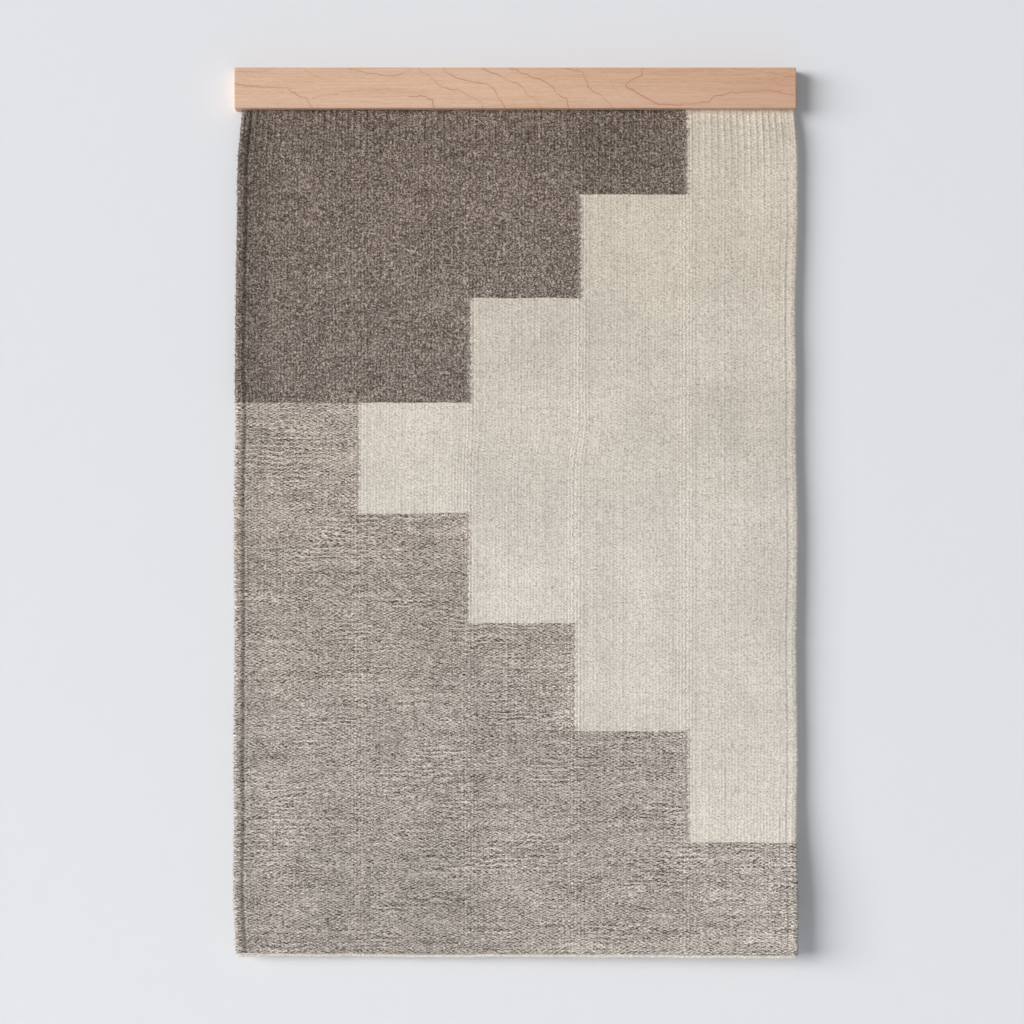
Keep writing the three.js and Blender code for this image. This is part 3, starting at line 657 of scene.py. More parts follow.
def field(name, colour, bands, mat, coarse=3):
    """One closed sheet of the cloth: a fine face, a back with every third pick, and a rounded rim."""
    mask = np.zeros((ROWS - 1, COLS - 1), bool)
    for b in bands:
        c0, c1 = in_band(b)[colour]
        mask[RKEY[b]:RKEY[b + 1], c0:c1] = True
    r0, r1 = RKEY[bands[0]], RKEY[bands[-1] + 1]
    # how deep inside the field each grid point is, to round its rim
    pad = np.zeros((ROWS + 1, COLS + 1), bool)
    pad[1:-1, 1:-1] = mask
    # count of field quads round each grid point
    cnt = pad[:-1, :-1].astype(int) + pad[1:, :-1] + pad[:-1, 1:] + pad[1:, 1:]
    used = cnt > 0
    rim = used & (cnt < 4)
    near = np.zeros_like(rim)
    near[1:, :] |= rim[:-1, :]
    near[:-1, :] |= rim[1:, :]
    near[:, 1:] |= rim[:, :-1]
    near[:, :-1] |= rim[:, 1:]
    # seams between two pieces of the same colour are not rims
    same_top = np.zeros(COLS, bool)
    same_bot = np.zeros(COLS, bool)
    b0, b1 = bands[0], bands[-1]
    if b0 > 0 and colour in in_band(b0 - 1):
        a, b = in_band(b0 - 1)[colour]
        c, d = in_band(b0)[colour]
        same_top[max(a, c):min(b, d) + 1] = True
    if b1 < 7 and colour in in_band(b1 + 1):
        a, b = in_band(b1 + 1)[colour]
        c, d = in_band(b1)[colour]
        same_bot[max(a, c):min(b, d) + 1] = True
    f = np.ones((ROWS, COLS))
    joined = rim & (np.arange(COLS)[None, :] > 0) & (np.arange(COLS)[None, :] < COLS - 1) & (np.arange(ROWS)[:, None] < ROWS - 1)
    f[near] = 0.92
    f[rim] = 0.5
    nearj = near & (np.arange(COLS)[None, :] > 1) & (np.arange(COLS)[None, :] < COLS - 2) & (np.arange(ROWS)[:, None] < ROWS - 2)
    f[nearj] = 1.0
    f[joined] = 1.0
    # a seam inside one colour keeps the full shape right to the selvedge
    f[r0, same_top] = f[min(r0 + 3, ROWS - 1), same_top]
    f[r0 + 1, same_top] = f[min(r0 + 3, ROWS - 1), same_top]
    f[r1, same_bot] = f[r1 - 3, same_bot]
    f[r1 - 1, same_bot] = f[r1 - 3, same_bot]
    up = np.maximum(SLAB + FACE, 0.35) * f
    dn = np.maximum(SLAB + BACK, 0.35) * f

    # draw the rim in by a hair, so that two fields never share a wall
    Xf, Zf = X.copy(), Z.copy()
    g = 0.02
    left_of, right_of = pad[:-1, :-1] | pad[1:, :-1], pad[:-1, 1:] | pad[1:, 1:]
    above, below = pad[:-1, :-1] | pad[:-1, 1:], pad[1:, :-1] | pad[1:, 1:]
    Xf = Xf + np.where(rim & right_of & ~left_of, g, 0) - np.where(rim & left_of & ~right_of, g, 0)
    Zf = Zf - np.where(rim & below & ~above, g, 0) + np.where(rim & above & ~below, g, 0)
    Zf[r0, same_top] = Z[r0, same_top]
    Zf[r1, same_bot] = Z[r1, same_bot]
    mid = MID_Y + drape(Xf, Zf)

    # the back keeps every third pick, and every pick that bounds a stair
    keep = np.zeros(ROWS, bool)
    for b in bands:
        keep[RKEY[b]:RKEY[b + 1]:coarse] = True
        keep[RKEY[b + 1]] = True
    ids_f = -np.ones((ROWS, COLS), np.int64)
    ids_b = -np.ones((ROWS, COLS), np.int64)
    ids_f[used] = np.arange(used.sum())
    wall = used & rim
    back_used = used & (keep[:, None] | wall)
    ids_b[back_used] = used.sum() + np.arange(back_used.sum())
    vf = np.stack([Xf[used], (mid - up)[used], Zf[used]], 1)
    vb = np.stack([Xf[back_used], (mid + dn)[back_used], Zf[back_used]], 1)
    weave = np.stack([np.broadcast_to(warp_no, (ROWS, COLS)), np.broadcast_to(rowi * 1.0, (ROWS, COLS))], 2)
    wf = weave[used]
    wb = weave[back_used] + np.array([0.37 + 400, 0.21 + 900])

    r, c = np.nonzero(mask)
    front = np.stack([ids_f[r, c], ids_f[r + 1, c], ids_f[r + 1, c + 1], ids_f[r, c + 1]], 1)
    quads = [front]
    tris = []
    # back: strips between kept picks; where a strip touches an upright rim it fans down the rim's own points
    kept = np.nonzero(keep)[0]
    for a, b in zip(kept[:-1], kept[1:]):
        if a < r0 or b > r1:
            continue
        row = mask[a]
        cs = np.nonzero(row)[0]
        if not len(cs):
            continue
        c0, c1 = cs[0], cs[-1] + 1
        inner = cs[(cs > c0) & (cs < c1 - 1)]
        if len(inner):
            quads.append(np.stack([ids_b[a, inner], ids_b[a, inner + 1], ids_b[b, inner + 1], ids_b[b, inner]], 1))
        # left edge column
        for cc, outer, inn in ((c0, c0, c0 + 1), (c1 - 1, c1, c1 - 1)):
            chain = [ids_b[q, outer] for q in range(a, b + 1)]
            top_in, bot_in = ids_b[a, inn], ids_b[b, inn]
            half = len(chain) // 2
            for q in range(len(chain) - 1):
                apex = top_in if q < half else bot_in
                tri = (chain[q], apex, chain[q + 1]) if outer < inn else (chain[q], chain[q + 1], apex)
                tris.append(tri)
            tri = (chain[half], top_in, bot_in) if outer < inn else (chain[half], bot_in, top_in)
            tris.append(tri)
    # rim walls
    walls = []
    m = np.zeros((ROWS + 1, COLS + 1), bool)
    m[1:-1, 1:-1] = mask
    # upright edges: between (r,c) and (r+1,c)
    lq = m[1:-1, :-1]  # quad to the left of column c, rows r
    rq = m[1:-1, 1:]
    rr, cc = np.nonzero(lq != rq)
    for q, w_ in zip(rr, cc):
        a_, b_ = (q, w_), (q + 1, w_)
        if rq[q, w_]:
            walls.append((ids_f[b_], ids_f[a_], ids_b[a_], ids_b[b_]))
        else:
            walls.append((ids_f[a_], ids_f[b_], ids_b[b_], ids_b[a_]))
    tq = m[:-1, 1:-1]
    bq = m[1:, 1:-1]
    rr, cc = np.nonzero(tq != bq)
    for q, w_ in zip(rr, cc):
        a_, b_ = (q, w_), (q, w_ + 1)
        if bq[q, w_]:
            walls.append((ids_f[a_], ids_f[b_], ids_b[b_], ids_b[a_]))
        else:
            walls.append((ids_f[b_], ids_f[a_], ids_b[a_], ids_b[b_]))
    quads.append(np.array(walls))
    quads = np.concatenate(quads)
    verts = np.concatenate([vf, vb]) * MM
    ob = mixed_mesh(name, verts, quads, tris, mat, flat_quads=len(walls))
    per_vertex = np.concatenate([wf, wb])
    corner_map(ob, "weave", per_vertex)
    # the face's shading follows the whole cloth, so that neighbours meet without a line
    yz, yx = np.gradient(mid - up)
    zz_, zx = np.gradient(Zf)
    xz, xx_ = np.gradient(Xf)
    n = np.stack([zx * yz - yx * zz_, xx_ * zz_ - zx * xz, yx * xz - xx_ * yz], 2)
    n = n / np.linalg.norm(n, axis=2)[:, :, None]
    n = np.where(n[:, :, 1:2] > 0, -n, n)
    loop_v = np.empty(len(ob.data.loops), np.int32)
    ob.data.loops.foreach_get("vertex_index", loop_v)
    loop_n = np.zeros((len(loop_v), 3), np.float32)
    own = np.concatenate([n[used], np.zeros((int(back_used.sum()), 3))])
    at_front = loop_v < int(used.sum())
    in_face = np.zeros(len(loop_v), bool)
    in_face[:4 * len(front)] = True
    take = in_face & at_front
    loop_n[take] = own[loop_v[take]]
    ob.data.normals_split_custom_set(loop_n.tolist())
    tone = TONE + SHADE[colour]
    point_value(ob, "tone", np.concatenate([tone[used], tone[back_used]]))
    FACES[name] = (Xf, mid - up, Zf, used, r0, r1)
    # flat layout for baking: face on the left, back on the right
    lo = np.array([X[used].min(), Z[used].min()]) - 1
    hi = np.array([X[used].max(), Z[used].max()]) + 1
    uf = (np.stack([Xf[used], Zf[used]], 1) - lo) / (hi - lo)
    ub = (np.stack([Xf[back_used], Zf[back_used]], 1) - lo) / (hi - lo)
    uf[:, 0] = 0.004 + uf[:, 0] * 0.490
    ub[:, 0] = 0.996 - ub[:, 0] * 0.490
    corner_map(ob, "OFBake", np.concatenate([uf, ub]))
    ob.data.uv_layers.active = ob.data.uv_layers["weave"]
    area = 0.0
    for b in bands:
        c0, c1 = in_band(b)[colour]
        area += float(np.mean(X0[RKEY[b]:RKEY[b + 1], c1] - X0[RKEY[b]:RKEY[b + 1], c0])) * (BANDS[b] - BANDS[b + 1])
    ob["flat_mm"] = (float(hi[0] - lo[0]), float(BANDS[bands[0]] - BANDS[bands[-1] + 1]), area)
    return ob


def mixed_mesh(name, verts, quads, tris, mat, flat_quads=0):
    me = bpy.data.meshes.new(name)
    me.vertices.add(len(verts))
    me.vertices.foreach_set("co", np.asarray(verts, np.float32).ravel())
    quads = np.asarray(quads, np.int32).reshape(-1, 4)
    tris = np.asarray(tris, np.int32).reshape(-1, 3)
    loops_ = np.concatenate([quads.ravel(), tris.ravel()])
    starts = np.concatenate([np.arange(len(quads)) * 4, len(quads) * 4 + np.arange(len(tris)) * 3]).astype(np.int32)
    me.loops.add(len(loops_))
    me.loops.foreach_set("vertex_index", loops_.astype(np.int32))
    me.polygons.add(len(starts))
    me.polygons.foreach_set("loop_start", starts)
    me.update(calc_edges=True)
    me.validate()
    me.materials.append(mat)
    smooth_ = np.ones(len(me.polygons), bool)
    if flat_quads:
        smooth_[len(quads) - flat_quads:len(quads)] = False
    me.polygons.foreach_set("use_smooth", smooth_)
    ob = bpy.data.objects.new(name, me)
    bpy.context.scene.collection.objects.link(ob)
    return ob


FIELDS = [
    field("dark_weave", "dark", [0, 1, 2], DARK),
    field("cream_weave_upper", "cream", [0, 1, 2, 3], CREAM),
    field("cream_weave_lower", "cream", [4, 5, 6], CREAM),
    field("heather_weave_upper", "heather", [3, 4, 5], HEATHER),
    field("heather_weave_lower", "heather", [6, 7], HEATHER),
]
NODE = {"dark": "dark_field", "cream": "cream_field", "heather": "heather_field"}

# ---------------------------------------------------------------- clamped heading: the cloth inside the bar
def heading():
    x0, x1 = float(kl[0]), float(kh[0])
    z0, z1 = TOP_IN_SLOT + 0.3, float(kh[2])
    n, m = 350, 14
    xs = np.linspace(x0, x1, n)
    zs = np.linspace(z0, z1, m)
    xx, zz = np.meshgrid(xs, zs)
    h = HALF - 0.28
    bumpy = 0.10 * np.cos(2 * np.pi * xx / PW) + 0.05 * white(np.arange(n)[None, :], np.arange(m)[:, None], 77)
    edge = np.ones_like(xx)
    edge[:, 0] = edge[:, -1] = 0.35
    edge[-1, :] = 0.35
    edge[:, 1] = edge[:, -2] = 0.85
    t_ = (h + bumpy) * edge
    xx = xx + 0.3 * noise(zz / 2.1, xx / 900, 5) * (np.abs(xx) > 290)
    vf = np.stack([xx, MID_Y - t_, zz], 2).reshape(-1, 3)
    vb = np.stack([xx, MID_Y + t_, zz], 2).reshape(-1, 3)
    idx = np.arange(n * m).reshape(m, n)
    f = np.stack([idx[:-1, :-1], idx[:-1, 1:], idx[1:, 1:], idx[1:, :-1]], 2).reshape(-1, 4)
    b = f[:, ::-1] + n * m
    ring = np.concatenate([idx[0, :-1], idx[:-1, -1], idx[-1, :0:-1], idx[:0:-1, 0]])
    nxt = np.roll(ring, -1)
    w_ = np.stack([ring, ring + n * m, nxt + n * m, nxt], 1)
    ob = mixed_mesh("heading_weave", np.concatenate([vf, vb]) * MM, np.concatenate([f, b, w_]), [], HEADING)
    uv = np.stack([xx / PW + 100, -zz / PP], 2).reshape(-1, 2)
    corner_map(ob, "weave", np.concatenate([uv, uv + 50]))
    point_value(ob, "tone", np.ones(2 * n * m))
    return ob


HEAD = heading()

# ---------------------------------------------------------------- loose fibres
def fibres(roots, aim, lengths, radius, seed, bend=0.9, sides=3, steps=4):
    """Short tapered fibres, each a closed three-sided tube. All in mm. Returns points, triangles and one number for each fibre's points."""
    rng = np.random.default_rng(seed)
    n = len(roots)
    aim = aim / np.linalg.norm(aim, axis=1)[:, None]
    other = rng.normal(size=(n, 3))
    side = np.cross(aim, other)
    side /= np.linalg.norm(side, axis=1)[:, None]
    up = np.cross(side, aim)
    ts = np.linspace(0, 1, steps)
    curve = rng.uniform(-bend, bend, n)
    pts = []
    for t_ in ts:
        centre = roots + aim * (lengths * t_)[:, None] + side * (lengths * curve * t_ * t_ * 0.5)[:, None]
        r = radius * (1 - 0.55 * t_)
        ring_ = [centre + r * (math.cos(2 * math.pi * q / sides) * side + math.sin(2 * math.pi * q / sides) * up) for q in range(sides)]
        pts.append(np.stack(ring_, 1))
    tip = roots + aim * (lengths * 1.10)[:, None] + side * (lengths * curve * 0.6)[:, None]
    base = roots - aim * 0.15
    P = np.concatenate([np.stack(pts, 1).reshape(n, steps * sides, 3), tip[:, None], base[:, None]], 1)
    tris = []
    for k in range(steps - 1):
        for q in range(sides):
            a, b = k * sides + q, k * sides + (q + 1) % sides
            c, d = a + sides, b + sides
            tris += [(a, b, d), (a, d, c)]
    last = (steps - 1) * sides
    for q in range(sides):
        tris.append((last + q, last + (q + 1) % sides, steps * sides))
        tris.append(((q + 1) % sides, q, steps * sides + 1))
    tris = np.array(tris)
    per = steps * sides + 2
    F = (tris[None] + (np.arange(n) * per)[:, None, None]).reshape(-1, 3)
    return P.reshape(-1, 3), F, np.repeat(rng.random(n), per)


def fuzz(name, colour, parts, mat, seed, n_join, n_edge, n_face, bright=(0.92, 1.22)):
    """Loose wool standing off the colour joins, the selvedges and, sparsely, the whole face."""
    rng = np.random.default_rng(seed)
    roots, aims, lens = [], [], []
    for part in parts:
        Xf, Yf, Zf, used, r0, r1 = FACES[part]
        rr, cc = np.nonzero(used)
        ok = Zf[rr, cc] < BAR_BOTTOM - 3
        rr, cc = rr[ok], cc[ok]
        out = np.zeros(len(cc))
        at_join = np.zeros(len(cc), bool)
        for k in range(1, 5):
            c = KEYS[k]
            # a join only where this colour really ends
            ends_r = (cc == c) & ~used[rr, np.minimum(c + 1, COLS - 1)]
            ends_l = (cc == c) & ~used[rr, c - 1]
            out[ends_r] = 1
            out[ends_l] = -1
            at_join |= ends_r | ends_l
        at_left, at_right = cc <= 1, cc >= COLS - 2
        share = len(rr) / 90000.0
        for pick, n, kind in ((np.nonzero(at_join)[0], n_join, "join"), (np.nonzero(at_left | at_right)[0], n_edge, "edge"),
                              (np.arange(len(rr)), int(n_face * share), "face")):
            if not len(pick) or not n:
                continue
            q = rng.choice(pick, n)
            a_, b_ = rr[q], cc[q]
            x, y, z = Xf[a_, b_], Yf[a_, b_], Zf[a_, b_]
            if kind == "join":
                d = np.stack([out[q] * rng.uniform(0.4, 1, n), rng.uniform(-0.22, 0.05, n), rng.normal(0, 0.55, n)], 1)
                ln = rng.uniform(1.2, 4.4, n)
                x = x - out[q] * rng.uniform(0, 1.4, n)
                y = y - 0.05
            elif kind == "edge":
                o = np.where(b_ <= 1, -1.0, 1.0)
                d = np.stack([o * rng.uniform(0.25, 1, n), rng.uniform(-0.5, 0.5, n), rng.normal(0, 0.7, n)], 1)
                ln = rng.uniform(0.8, 2.6, n)
                x = x - o * 0.3
                y = y + rng.uniform(0.2, 1.4, n)
            else:
                ang = rng.uniform(0, 2 * math.pi, n)
                d = np.stack([np.cos(ang), rng.uniform(-0.30, -0.02, n), np.sin(ang)], 1)
                ln = rng.uniform(1.5, 4.0, n)
            roots.append(np.stack([x, y, z], 1)); aims.append(d); lens.append(ln)
    P, F, v = fibres(np.concatenate(roots), np.concatenate(aims), np.concatenate(lens), 0.21, seed)
    ob = mixed_mesh(name, P * MM, [], F, mat)
    corner_map(ob, "weave", np.stack([v * 977.0 + 300, v * 613.0 + 1300], 1))
    point_value(ob, "tone", bright[0] + (bright[1] - bright[0]) * v)
    return ob


FUZZ = {
    "dark": fuzz("dark_fuzz", "dark", ["dark_weave"], DARK, 201, 1500, 700, 2900, bright=(0.9, 2.1)),
    "cream": fuzz("cream_fuzz", "cream", ["cream_weave_upper", "cream_weave_lower"], CREAM, 202, 2100, 700, 700),
    "heather": fuzz("heather_fuzz", "heather", ["heather_weave_upper", "heather_weave_lower"], HEATHER, 203, 1100, 1100, 700),
}

# ---------------------------------------------------------------- bottom: warp ends twined into a flat cord
def twined():
    z_c = float((el[2] + eh[2]) / 2) + 0.2
    x0, x1 = float(el[0]) + 1.8, float(eh[0]) - 0.8
    pitch = 7.1
    steps = int((x1 - x0) / pitch * 14)
    sides = 10
    verts, faces, uvs = [], [], []
    xs = np.linspace(x0, x1, steps)
    for strand in range(2):
        th = 2 * np.pi * xs / pitch + strand * np.pi + 0.5 * noise(xs / 40.0, 1.0, 60)
        rad = 0.62
        wob = 0.45 * noise(xs / 26.0, 2.0, 61) + 0.25 * noise(xs / 5.0, 3.0 + strand, 63)
        base_z = z_c + 1.5 + 0.9 * smooth((xs + 100) / 400.0) + 0.60 * noise(xs / 120.0, FIELD_BOTTOM / 260.0, 21) + wob
        cx = xs
        cz = base_z + rad * np.cos(th)
        cy = MID_Y + drape(xs, np.full_like(xs, FIELD_BOTTOM)) + 0.62 * np.sin(th)
        path = np.stack([cx, cy, cz], 1)
        tan = np.gradient(path, axis=0)
        tan /= np.linalg.norm(tan, axis=1)[:, None]
        up = np.cross(tan, np.array([0, 1.0, 0]))
        up /= np.linalg.norm(up, axis=1)[:, None]
        side = np.cross(up, tan)
        r = 1.20 + 0.24 * noise(xs / 3.1, strand * 5.0, 62)
        taper = np.minimum(1, np.minimum(np.arange(steps), np.arange(steps)[::-1]) / 4.0 + 0.25)
        r = r * taper
        base = len(verts)
        ang = np.linspace(0, 2 * np.pi, sides, endpoint=False)
        pts = path[:, None, :] + r[:, None, None] * (np.cos(ang)[None, :, None] * up[:, None, :] + np.sin(ang)[None, :, None] * side[:, None, :])
        start = sum(len(v) for v in verts)
        verts.append(pts.reshape(-1, 3))
        uvs.append(np.stack([np.repeat(xs[:, None] / 2.2, sides, 1), np.repeat((ang / 2.0)[None, :], steps, 0) + xs[:, None] * 0.9], 2).reshape(-1, 2))
        idx = start + np.arange(steps * sides).reshape(steps, sides)
        nx = np.roll(idx, -1, 1)
        faces.append(np.stack([idx[:-1], nx[:-1], nx[1:], idx[1:]], 2).reshape(-1, 4))
        # caps
        ends = np.stack([path[0], path[-1]])
        verts.append(ends)
        uvs.append(np.zeros((2, 2)))
        a, b = start + steps * sides, start + steps * sides + 1
        cap0 = np.stack([np.full(sides, a), nx[0], idx[0]], 1)
        cap1 = np.stack([np.full(sides, b), idx[-1], nx[-1]], 1)
        tris_.append(cap0)
        tris_.append(cap1)
    return np.concatenate(verts), np.concatenate(faces), np.concatenate(uvs)


tris_ = []
v_, f_, u_ = twined()
rng = np.random.default_rng(77)
at = rng.integers(0, len(v_) - 40, 2600)
hp, hf, hv = fibres(v_[at], np.stack([rng.normal(0, 0.9, len(at)), rng.normal(0, 0.5, len(at)), rng.normal(-0.15, 0.55, len(at))], 1),
                    rng.uniform(0.8, 2.4, len(at)), 0.18, 78)
CORD = mixed_mesh("twined_edge", np.concatenate([v_, hp]) * MM, f_, np.concatenate(tris_ + [hf + len(v_)]), HEADING)
corner_map(CORD, "weave", np.concatenate([u_, np.stack([hv * 500, hv * 900], 1)]))
point_value(CORD, "tone", np.concatenate([0.95 + 0.10 * noise(v_[:, 0] / 3.0, v_[:, 2], 5), 0.9 + 0.2 * hv]))


# ---------------------------------------------------------------- front slat
def slat(name, lo, hi, radii, mat):
    """A planed board with eased edges and ends. radii: front-bottom, back-bottom, back-top, front-top."""
    y0, y1, z0, z1 = float(lo[1]), float(hi[1]), float(lo[2]), float(hi[2])
    cs = [(y0, z0), (y1, z0), (y1, z1), (y0, z1)]
    prof = []
    for k in range(4):
        p = np.array(cs[k]); a = np.array(cs[k - 1]); b = np.array(cs[(k + 1) % 4])
        ua = (a - p) / np.linalg.norm(a - p); ub = (b - p) / np.linalg.norm(b - p)
        r = radii[k]
        arc = []
        for q in range(5):
            s = q / 4 * math.pi / 2
            arc.append(p + ua * r * (1 - math.sin(s)) + ub * r * (1 - math.cos(s)))
        if prof:
            q0, q1 = prof[-1], arc[0]
            d = np.linalg.norm(q1 - q0)
            n = max(3, int(d / 3.2))
            ts = np.concatenate([[0.25 / d], np.linspace(0.7 / d, 1 - 0.7 / d, n), [1 - 0.25 / d]])
            prof += [q0 + (q1 - q0) * s for s in ts]
        prof += arc
    q0, q1 = prof[-1], prof[0]
    d = np.linalg.norm(q1 - q0)
    ts = np.concatenate([[0.25 / d], np.linspace(0.012, 0.988, int(d / 0.62)), [1 - 0.25 / d]])
    prof += [q0 + (q1 - q0) * s for s in ts]
    prof = np.array(prof)
    cen = np.array([(y0 + y1) / 2, (z0 + z1) / 2])
    X0_, X1_ = float(lo[0]), float(hi[0])
    e = 0.9  # eased ends
    body = np.linspace(X0_ + e, X1_ - e, 840)
    xs, inset = [], []
    for q in range(6):
        s = q / 5 * math.pi / 2
        xs.append(X0_ + e * (1 - math.sin(s))); inset.append(e * (1 - math.cos(s)))
    xs, inset = xs[:], inset[:]
    # from the cap (full inset) to the body (none)
    head = sorted(zip(xs, [e - e * math.sin(math.acos(min(1, max(0, 1 - (x - X0_) / e)))) for x in xs]))
    secs = [(x, i) for x, i in head] + [(float(x), 0.0) for x in body[1:-1]] + [(X1_ - (x - X0_), i) for x, i in head[::-1]]
    V = []
    hy, hz = (y1 - y0) / 2, (z1 - z0) / 2
    for x, i in secs:
        s = prof.copy()
        s[:, 0] = cen[0] + (s[:, 0] - cen[0]) * (1 - i / hy)
        s[:, 1] = cen[1] + (s[:, 1] - cen[1]) * (1 - i / hz)
        # hand-sanded: never quite flat
        w_ = 0.05 * noise(x / 70.0, s[:, 1] / 18.0, 51)
        V.append(np.stack([np.full(len(s), x), s[:, 0] + w_ * (s[:, 0] < cen[0]), s[:, 1]], 1))
    V = np.array(V)
    S, P = V.shape[:2]
    idx = np.arange(S * P).reshape(S, P)
    nx = np.roll(idx, -1, 1)
    quads = np.stack([idx[:-1], idx[1:], nx[1:], nx[:-1]], 2).reshape(-1, 4)
    verts = V.reshape(-1, 3)
    c0, c1 = len(verts), len(verts) + 1
    verts = np.concatenate([verts, [[secs[0][0], cen[0], cen[1]], [secs[-1][0], cen[0], cen[1]]]])
    t0 = np.stack([np.full(P, c0), idx[0], nx[0]], 1)
    t1 = np.stack([np.full(P, c1), nx[-1], idx[-1]], 1)
    ob = mixed_mesh(name, verts * MM, quads, np.concatenate([t0, t1]), mat)
    # flat caps
    flags = np.ones(len(ob.data.polygons), bool)
    flags[len(quads):] = False
    ob.data.polygons.foreach_set("use_smooth", flags)
    bm = bmesh.new(); bm.from_mesh(ob.data)
    bmesh.ops.recalc_face_normals(bm, faces=bm.faces)
    bm.to_mesh(ob.data); bm.free()
    return ob


FRONT = slat("front_slat_maple", fl, fh, [1.7, 0.5, 0.5, 1.7], MAPLE)

# where the growth rings break the face: x and height in mm, with how strongly each shows
RINGS = [
    (0.9, [(-304, 4.2), (-284, 2.0), (-265, 0.9), (-247, -0.2), (-243, -4.5), (-238, -6.7), (-232, -9.9), (-227, -11.0), (-224, -15.4), (-219, -23)]),
    (0.7, [(-220, -11.0), (-209, -8.9), (-193, -6.7)]),
    (0.4, [(-304, 17.2), (-275, 17.2), (-264, 20.4), (-255, 24)]),
    (0.7, [(-184, 24), (-178, 20.4), (-162, 16.1), (-141, 12.8), (-128, 13.9), (-115, 19.3), (-108, 24)]),
    (1.0, [(-114, -9.9), (-109, -8.9), (-103, -7.8), (-89, -13.2), (-88, -24)]),
    (1.0, [(-106, 24), (-103, 18.3), (-96, 15.0), (-90, 9.6), (-85, 6.3), (-80, 0.9), (-71, -1.3), (-61, -2.4), (-51, -7.8), (-44, -11.0), (-35, -16.5), (-36, -24)]),
    (0.9, [(-80, 24), (-76, 17.2), (-65, 10.7), (-53, 7.4), (-33, 5.2), (-23, -1.3), (-18, -8.9), (-10, -24)]),
    (0.9, [(-38, 24), (-32, 19.3), (-21, 15.0), (-10, 9.6), (2, 4.2), (10, -1.3), (12, -6.7), (22, -11.0), (30, -24)]),
    (0.9, [(-10, 24), (-3, 20.4), (16, 12.8), (33, 7.4), (41, -0.2), (45, -6.7), (56, -12.1), (58, -24)]),
    (0.8, [(52, 24), (57, 20.4), (73, 17.2), (76, 11.7), (79, -0.2), (90, -6.7), (100, -14.3), (107, -24)]),
    (1.0, [(140, 24), (138, 20.4), (137, 12.8), (130, 10.7), (125, 8.5), (120, 2.0), (127, -2.4), (135, -6.7), (146, -13.2), (157, -17.5), (173, -18.6),
           (190, -17.5), (211, -15.4), (214, -9.9), (233, -5.6), (255, -4.5), (276, -3.4), (304, -7.8)]),
    (0.6, [(230, 24), (238, 20.4), (255, 19.3), (271, 17.2), (287, 13.9), (304, 11.7)]),
    (0.25, [(-304, -6), (-280, -9), (-262, -14), (-250, -24)]),
    (0.25, [(-190, -4), (-160, -1), (-132, -2), (-112, -6)]),
    (0.22, [(-240, 24), (-214, 12), (-196, 6), (-170, 3)]),
    (0.25, [(88, 24), (98, 16), (104, 6), (112, -6), (122, -16), (132, -24)]),
    (0.2, [(150, 16), (176, 8), (204, 6), (240, 8), (304, 2)]),
]


def draw_rings(ob):
    """Each vertex's distance to the nearest ring line, and that line's strength. The lines are finely jagged, as maple's are."""
    me = ob.data
    co = np.empty(len(me.vertices) * 3, np.float32)
    me.vertices.foreach_get("co", co)
    co = co.reshape(-1, 3) / MM
    px, pz = co[:, 0], co[:, 2]
    # the rings lean back through the board's thickness
    back = co[:, 1] - co[:, 1].min()
    px = px - 0.35 * back
    near = np.full(len(px), 20.0)
    force = np.zeros(len(px))
    for k, (strength, pts) in enumerate(RINGS):
        pts = np.array(pts, float)
        seg = np.linalg.norm(np.diff(pts, axis=0), axis=1)
        s_ = np.concatenate([[0], np.cumsum(seg)])
        ss = np.arange(0, s_[-1], 1.5)
        x = np.interp(ss, s_, pts[:, 0]) + 0.55 * white(np.arange(len(ss)), 0, 400 + k) + 0.7 * noise(ss / 5.0, 0.0, 430 + k)
        z = np.interp(ss, s_, pts[:, 1]) + 0.45 * white(np.arange(len(ss)), 1, 400 + k) + 0.7 * noise(ss / 6.0, 5.0, 430 + k)
        m = (px > x.min() - 20) & (px < x.max() + 20)
        best = np.full(m.sum(), 20.0)
        for a in range(len(x) - 1):
            dx, dz = x[a + 1] - x[a], z[a + 1] - z[a]
            t_ = np.clip(((px[m] - x[a]) * dx + (pz[m] - z[a]) * dz) / (dx * dx + dz * dz + 1e-9), 0, 1)
            best = np.minimum(best, np.hypot(px[m] - x[a] - t_ * dx, pz[m] - z[a] - t_ * dz))
        cur, fcur = near[m], force[m]
        closer = best < cur
        cur[closer] = best[closer]
        fcur[closer] = strength
        near[m], force[m] = cur, fcur
    point_value(ob, "ring", near)
    point_value(ob, "force", force)


draw_rings(FRONT)

# ---------------------------------------------------------------- who rides on what
for ob in FIELDS:
    colour = ob.name.split("_")[0]
    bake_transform(ob)
    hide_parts(NODE[colour])

for colour, ob in FUZZ.items():
    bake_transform(ob)

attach(HEAD, "hanger_bar")
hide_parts("clamped_heading")

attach(CORD, "tapestry")
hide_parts("bottom_heading_cord")

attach(FRONT, "hanger_bar")
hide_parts("front_slat")


def dress(node, mat):
    o = bpy.data.objects.get(node)
    if o is None:
        return
    if not o.material_slots:
        o.data.materials.append(mat)
    for s in o.material_slots:
        s.material = mat


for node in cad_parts:
    if node == "back_slat":
        dress(node, MAPLE_BACK)
    elif node.startswith("keyhole_plate"):
        dress(node, STEEL)
    elif "screw" in node:
        dress(node, ZINC)

# ---------------------------------------------------------------- stage
def plane(name, pts, mat):
    me = bpy.data.meshes.new(name)
    me.from_pydata(pts, [], [(0, 1, 2, 3)])
    me.materials.append(mat)
    o = bpy.data.objects.new(name, me)
    bpy.context.scene.collection.objects.link(o)
    return o


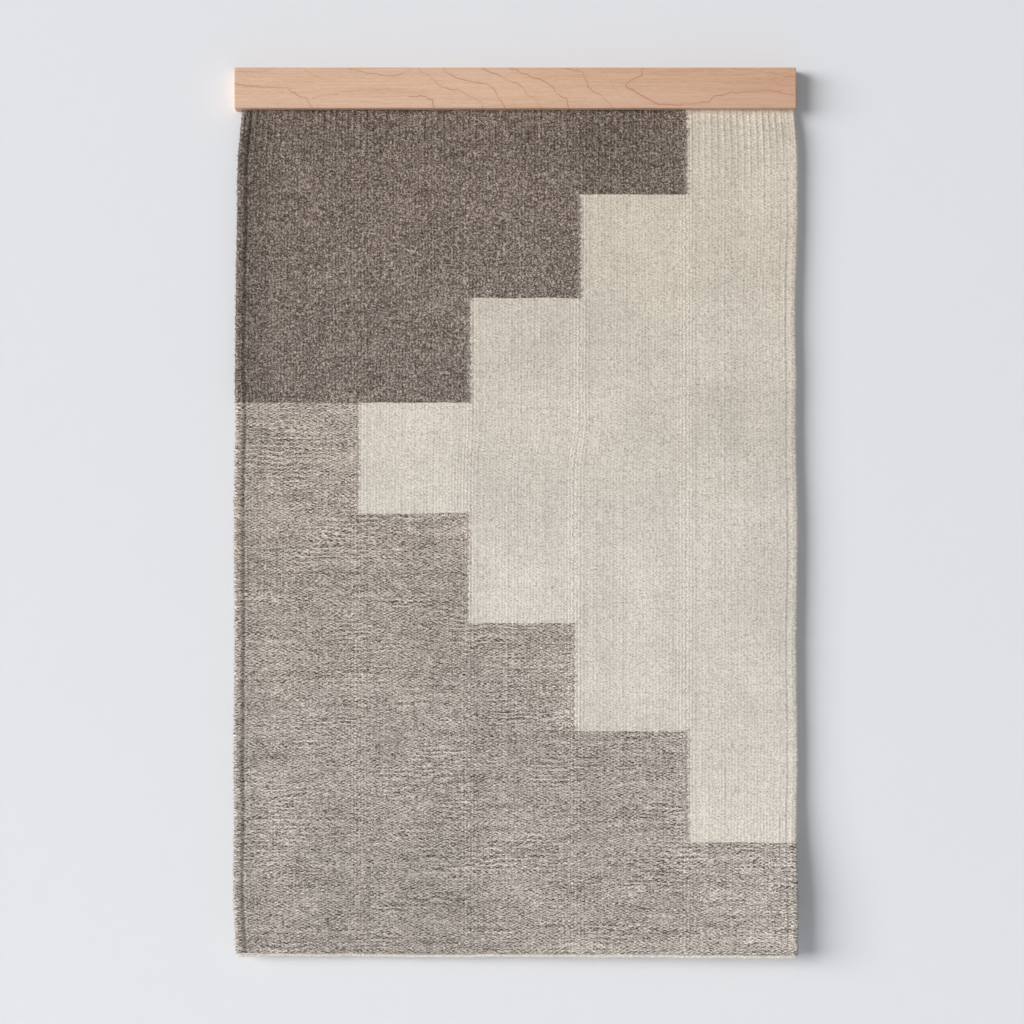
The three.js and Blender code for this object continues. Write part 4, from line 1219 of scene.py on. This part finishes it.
t = Tree("wall_paint")
co = t.add("ShaderNodeTexCoord").outputs["Object"]
t.bsdf.inputs["Base Color"].default_value = (0.80, 0.81, 0.84, 1)
t.bsdf.inputs["Roughness"].default_value = 0.9
t.bsdf.inputs["Specular IOR Level"].default_value = 0.1
t.put(t.bsdf.inputs["Normal"], t.bump(t.noise(co, 260.0, 3.0, 0.6), 0.00015, 0.25))
geo = t.add("ShaderNodeNewGeometry")
clear = t.add("ShaderNodeBsdfTransparent")
mx = t.add("ShaderNodeMixShader")
t.put(mx.inputs[0], geo.outputs["Backfacing"])
t.put(mx.inputs[1], t.bsdf.outputs[0])
t.put(mx.inputs[2], clear.outputs[0])
t.nt.links.new(mx.outputs[0], t.out.inputs["Surface"])
WALL_MAT = t.mat
Y_WALL = float(bh[1]) * MM + 0.0006
wall = plane("stage_wall", [(-4, Y_WALL, -1.5), (4, Y_WALL, -1.5), (4, Y_WALL, 2.5), (-4, Y_WALL, 2.5)], WALL_MAT)
t = Tree("floor_paint")
t.bsdf.inputs["Base Color"].default_value = (0.74, 0.74, 0.74, 1)
t.bsdf.inputs["Roughness"].default_value = 0.8
floor = plane("stage_floor", [(-6, -6, -1.5), (6, -6, -1.5), (6, 6, -1.5), (-6, 6, -1.5)], t.mat)
wall.visible_shadow = False  # so that lamps behind it reach the back of the cloth

world = bpy.data.worlds.new("studio")
bpy.context.scene.world = world
world.use_nodes = True
bg = world.node_tree.nodes["Background"]
bg.inputs[0].default_value = (0.90, 0.95, 1.0, 1)
bg.inputs[1].default_value = 0.255
# the empty surroundings look paler than the light they give
seen = world.node_tree.nodes.new("ShaderNodeBackground")
seen.inputs[0].default_value = (0.93, 0.95, 0.98, 1)
seen.inputs[1].default_value = 0.80
which = world.node_tree.nodes.new("ShaderNodeLightPath")
either = world.node_tree.nodes.new("ShaderNodeMixShader")
world.node_tree.links.new(which.outputs["Is Camera Ray"], either.inputs[0])
world.node_tree.links.new(bg.outputs[0], either.inputs[1])
world.node_tree.links.new(seen.outputs[0], either.inputs[2])
world.node_tree.links.new(either.outputs[0], world.node_tree.nodes["World Output"].inputs[0])


def area_light(name, at, target, w, h, power, colour=(1, 1, 1)):
    l = bpy.data.lights.new(name, "AREA")
    l.shape = "RECTANGLE"
    l.size, l.size_y = w, h
    l.energy = power
    l.color = colour
    o = bpy.data.objects.new(name, l)
    bpy.context.scene.collection.objects.link(o)
    o.location = at
    d = Vector(target) - Vector(at)
    o.rotation_euler = d.to_track_quat("-Z", "Y").to_euler()
    return o


mid = (0, 0, -0.46)
D = 30.0
az, el_ = math.radians(52), math.radians(8)
key_at = (mid[0] - D * math.sin(az) * math.cos(el_), -D * math.cos(az) * math.cos(el_), mid[2] + D * math.sin(el_))
area_light("key", key_at, mid, 24.0, 13.0, 10150, (1.0, 0.985, 0.965))
area_light("rear", (-1.8, 3.4, 1.0), mid, 3.0, 2.4, 42, (1.0, 0.985, 0.965))
area_light("rear_low", (2.4, 3.0, -0.2), mid, 2.4, 2.0, 16, (0.97, 0.985, 1.0))

view = bpy.context.scene.view_settings
view.view_transform = "Standard"
view.look = "None"
view.exposure = 0.0
view.gamma = 1.0
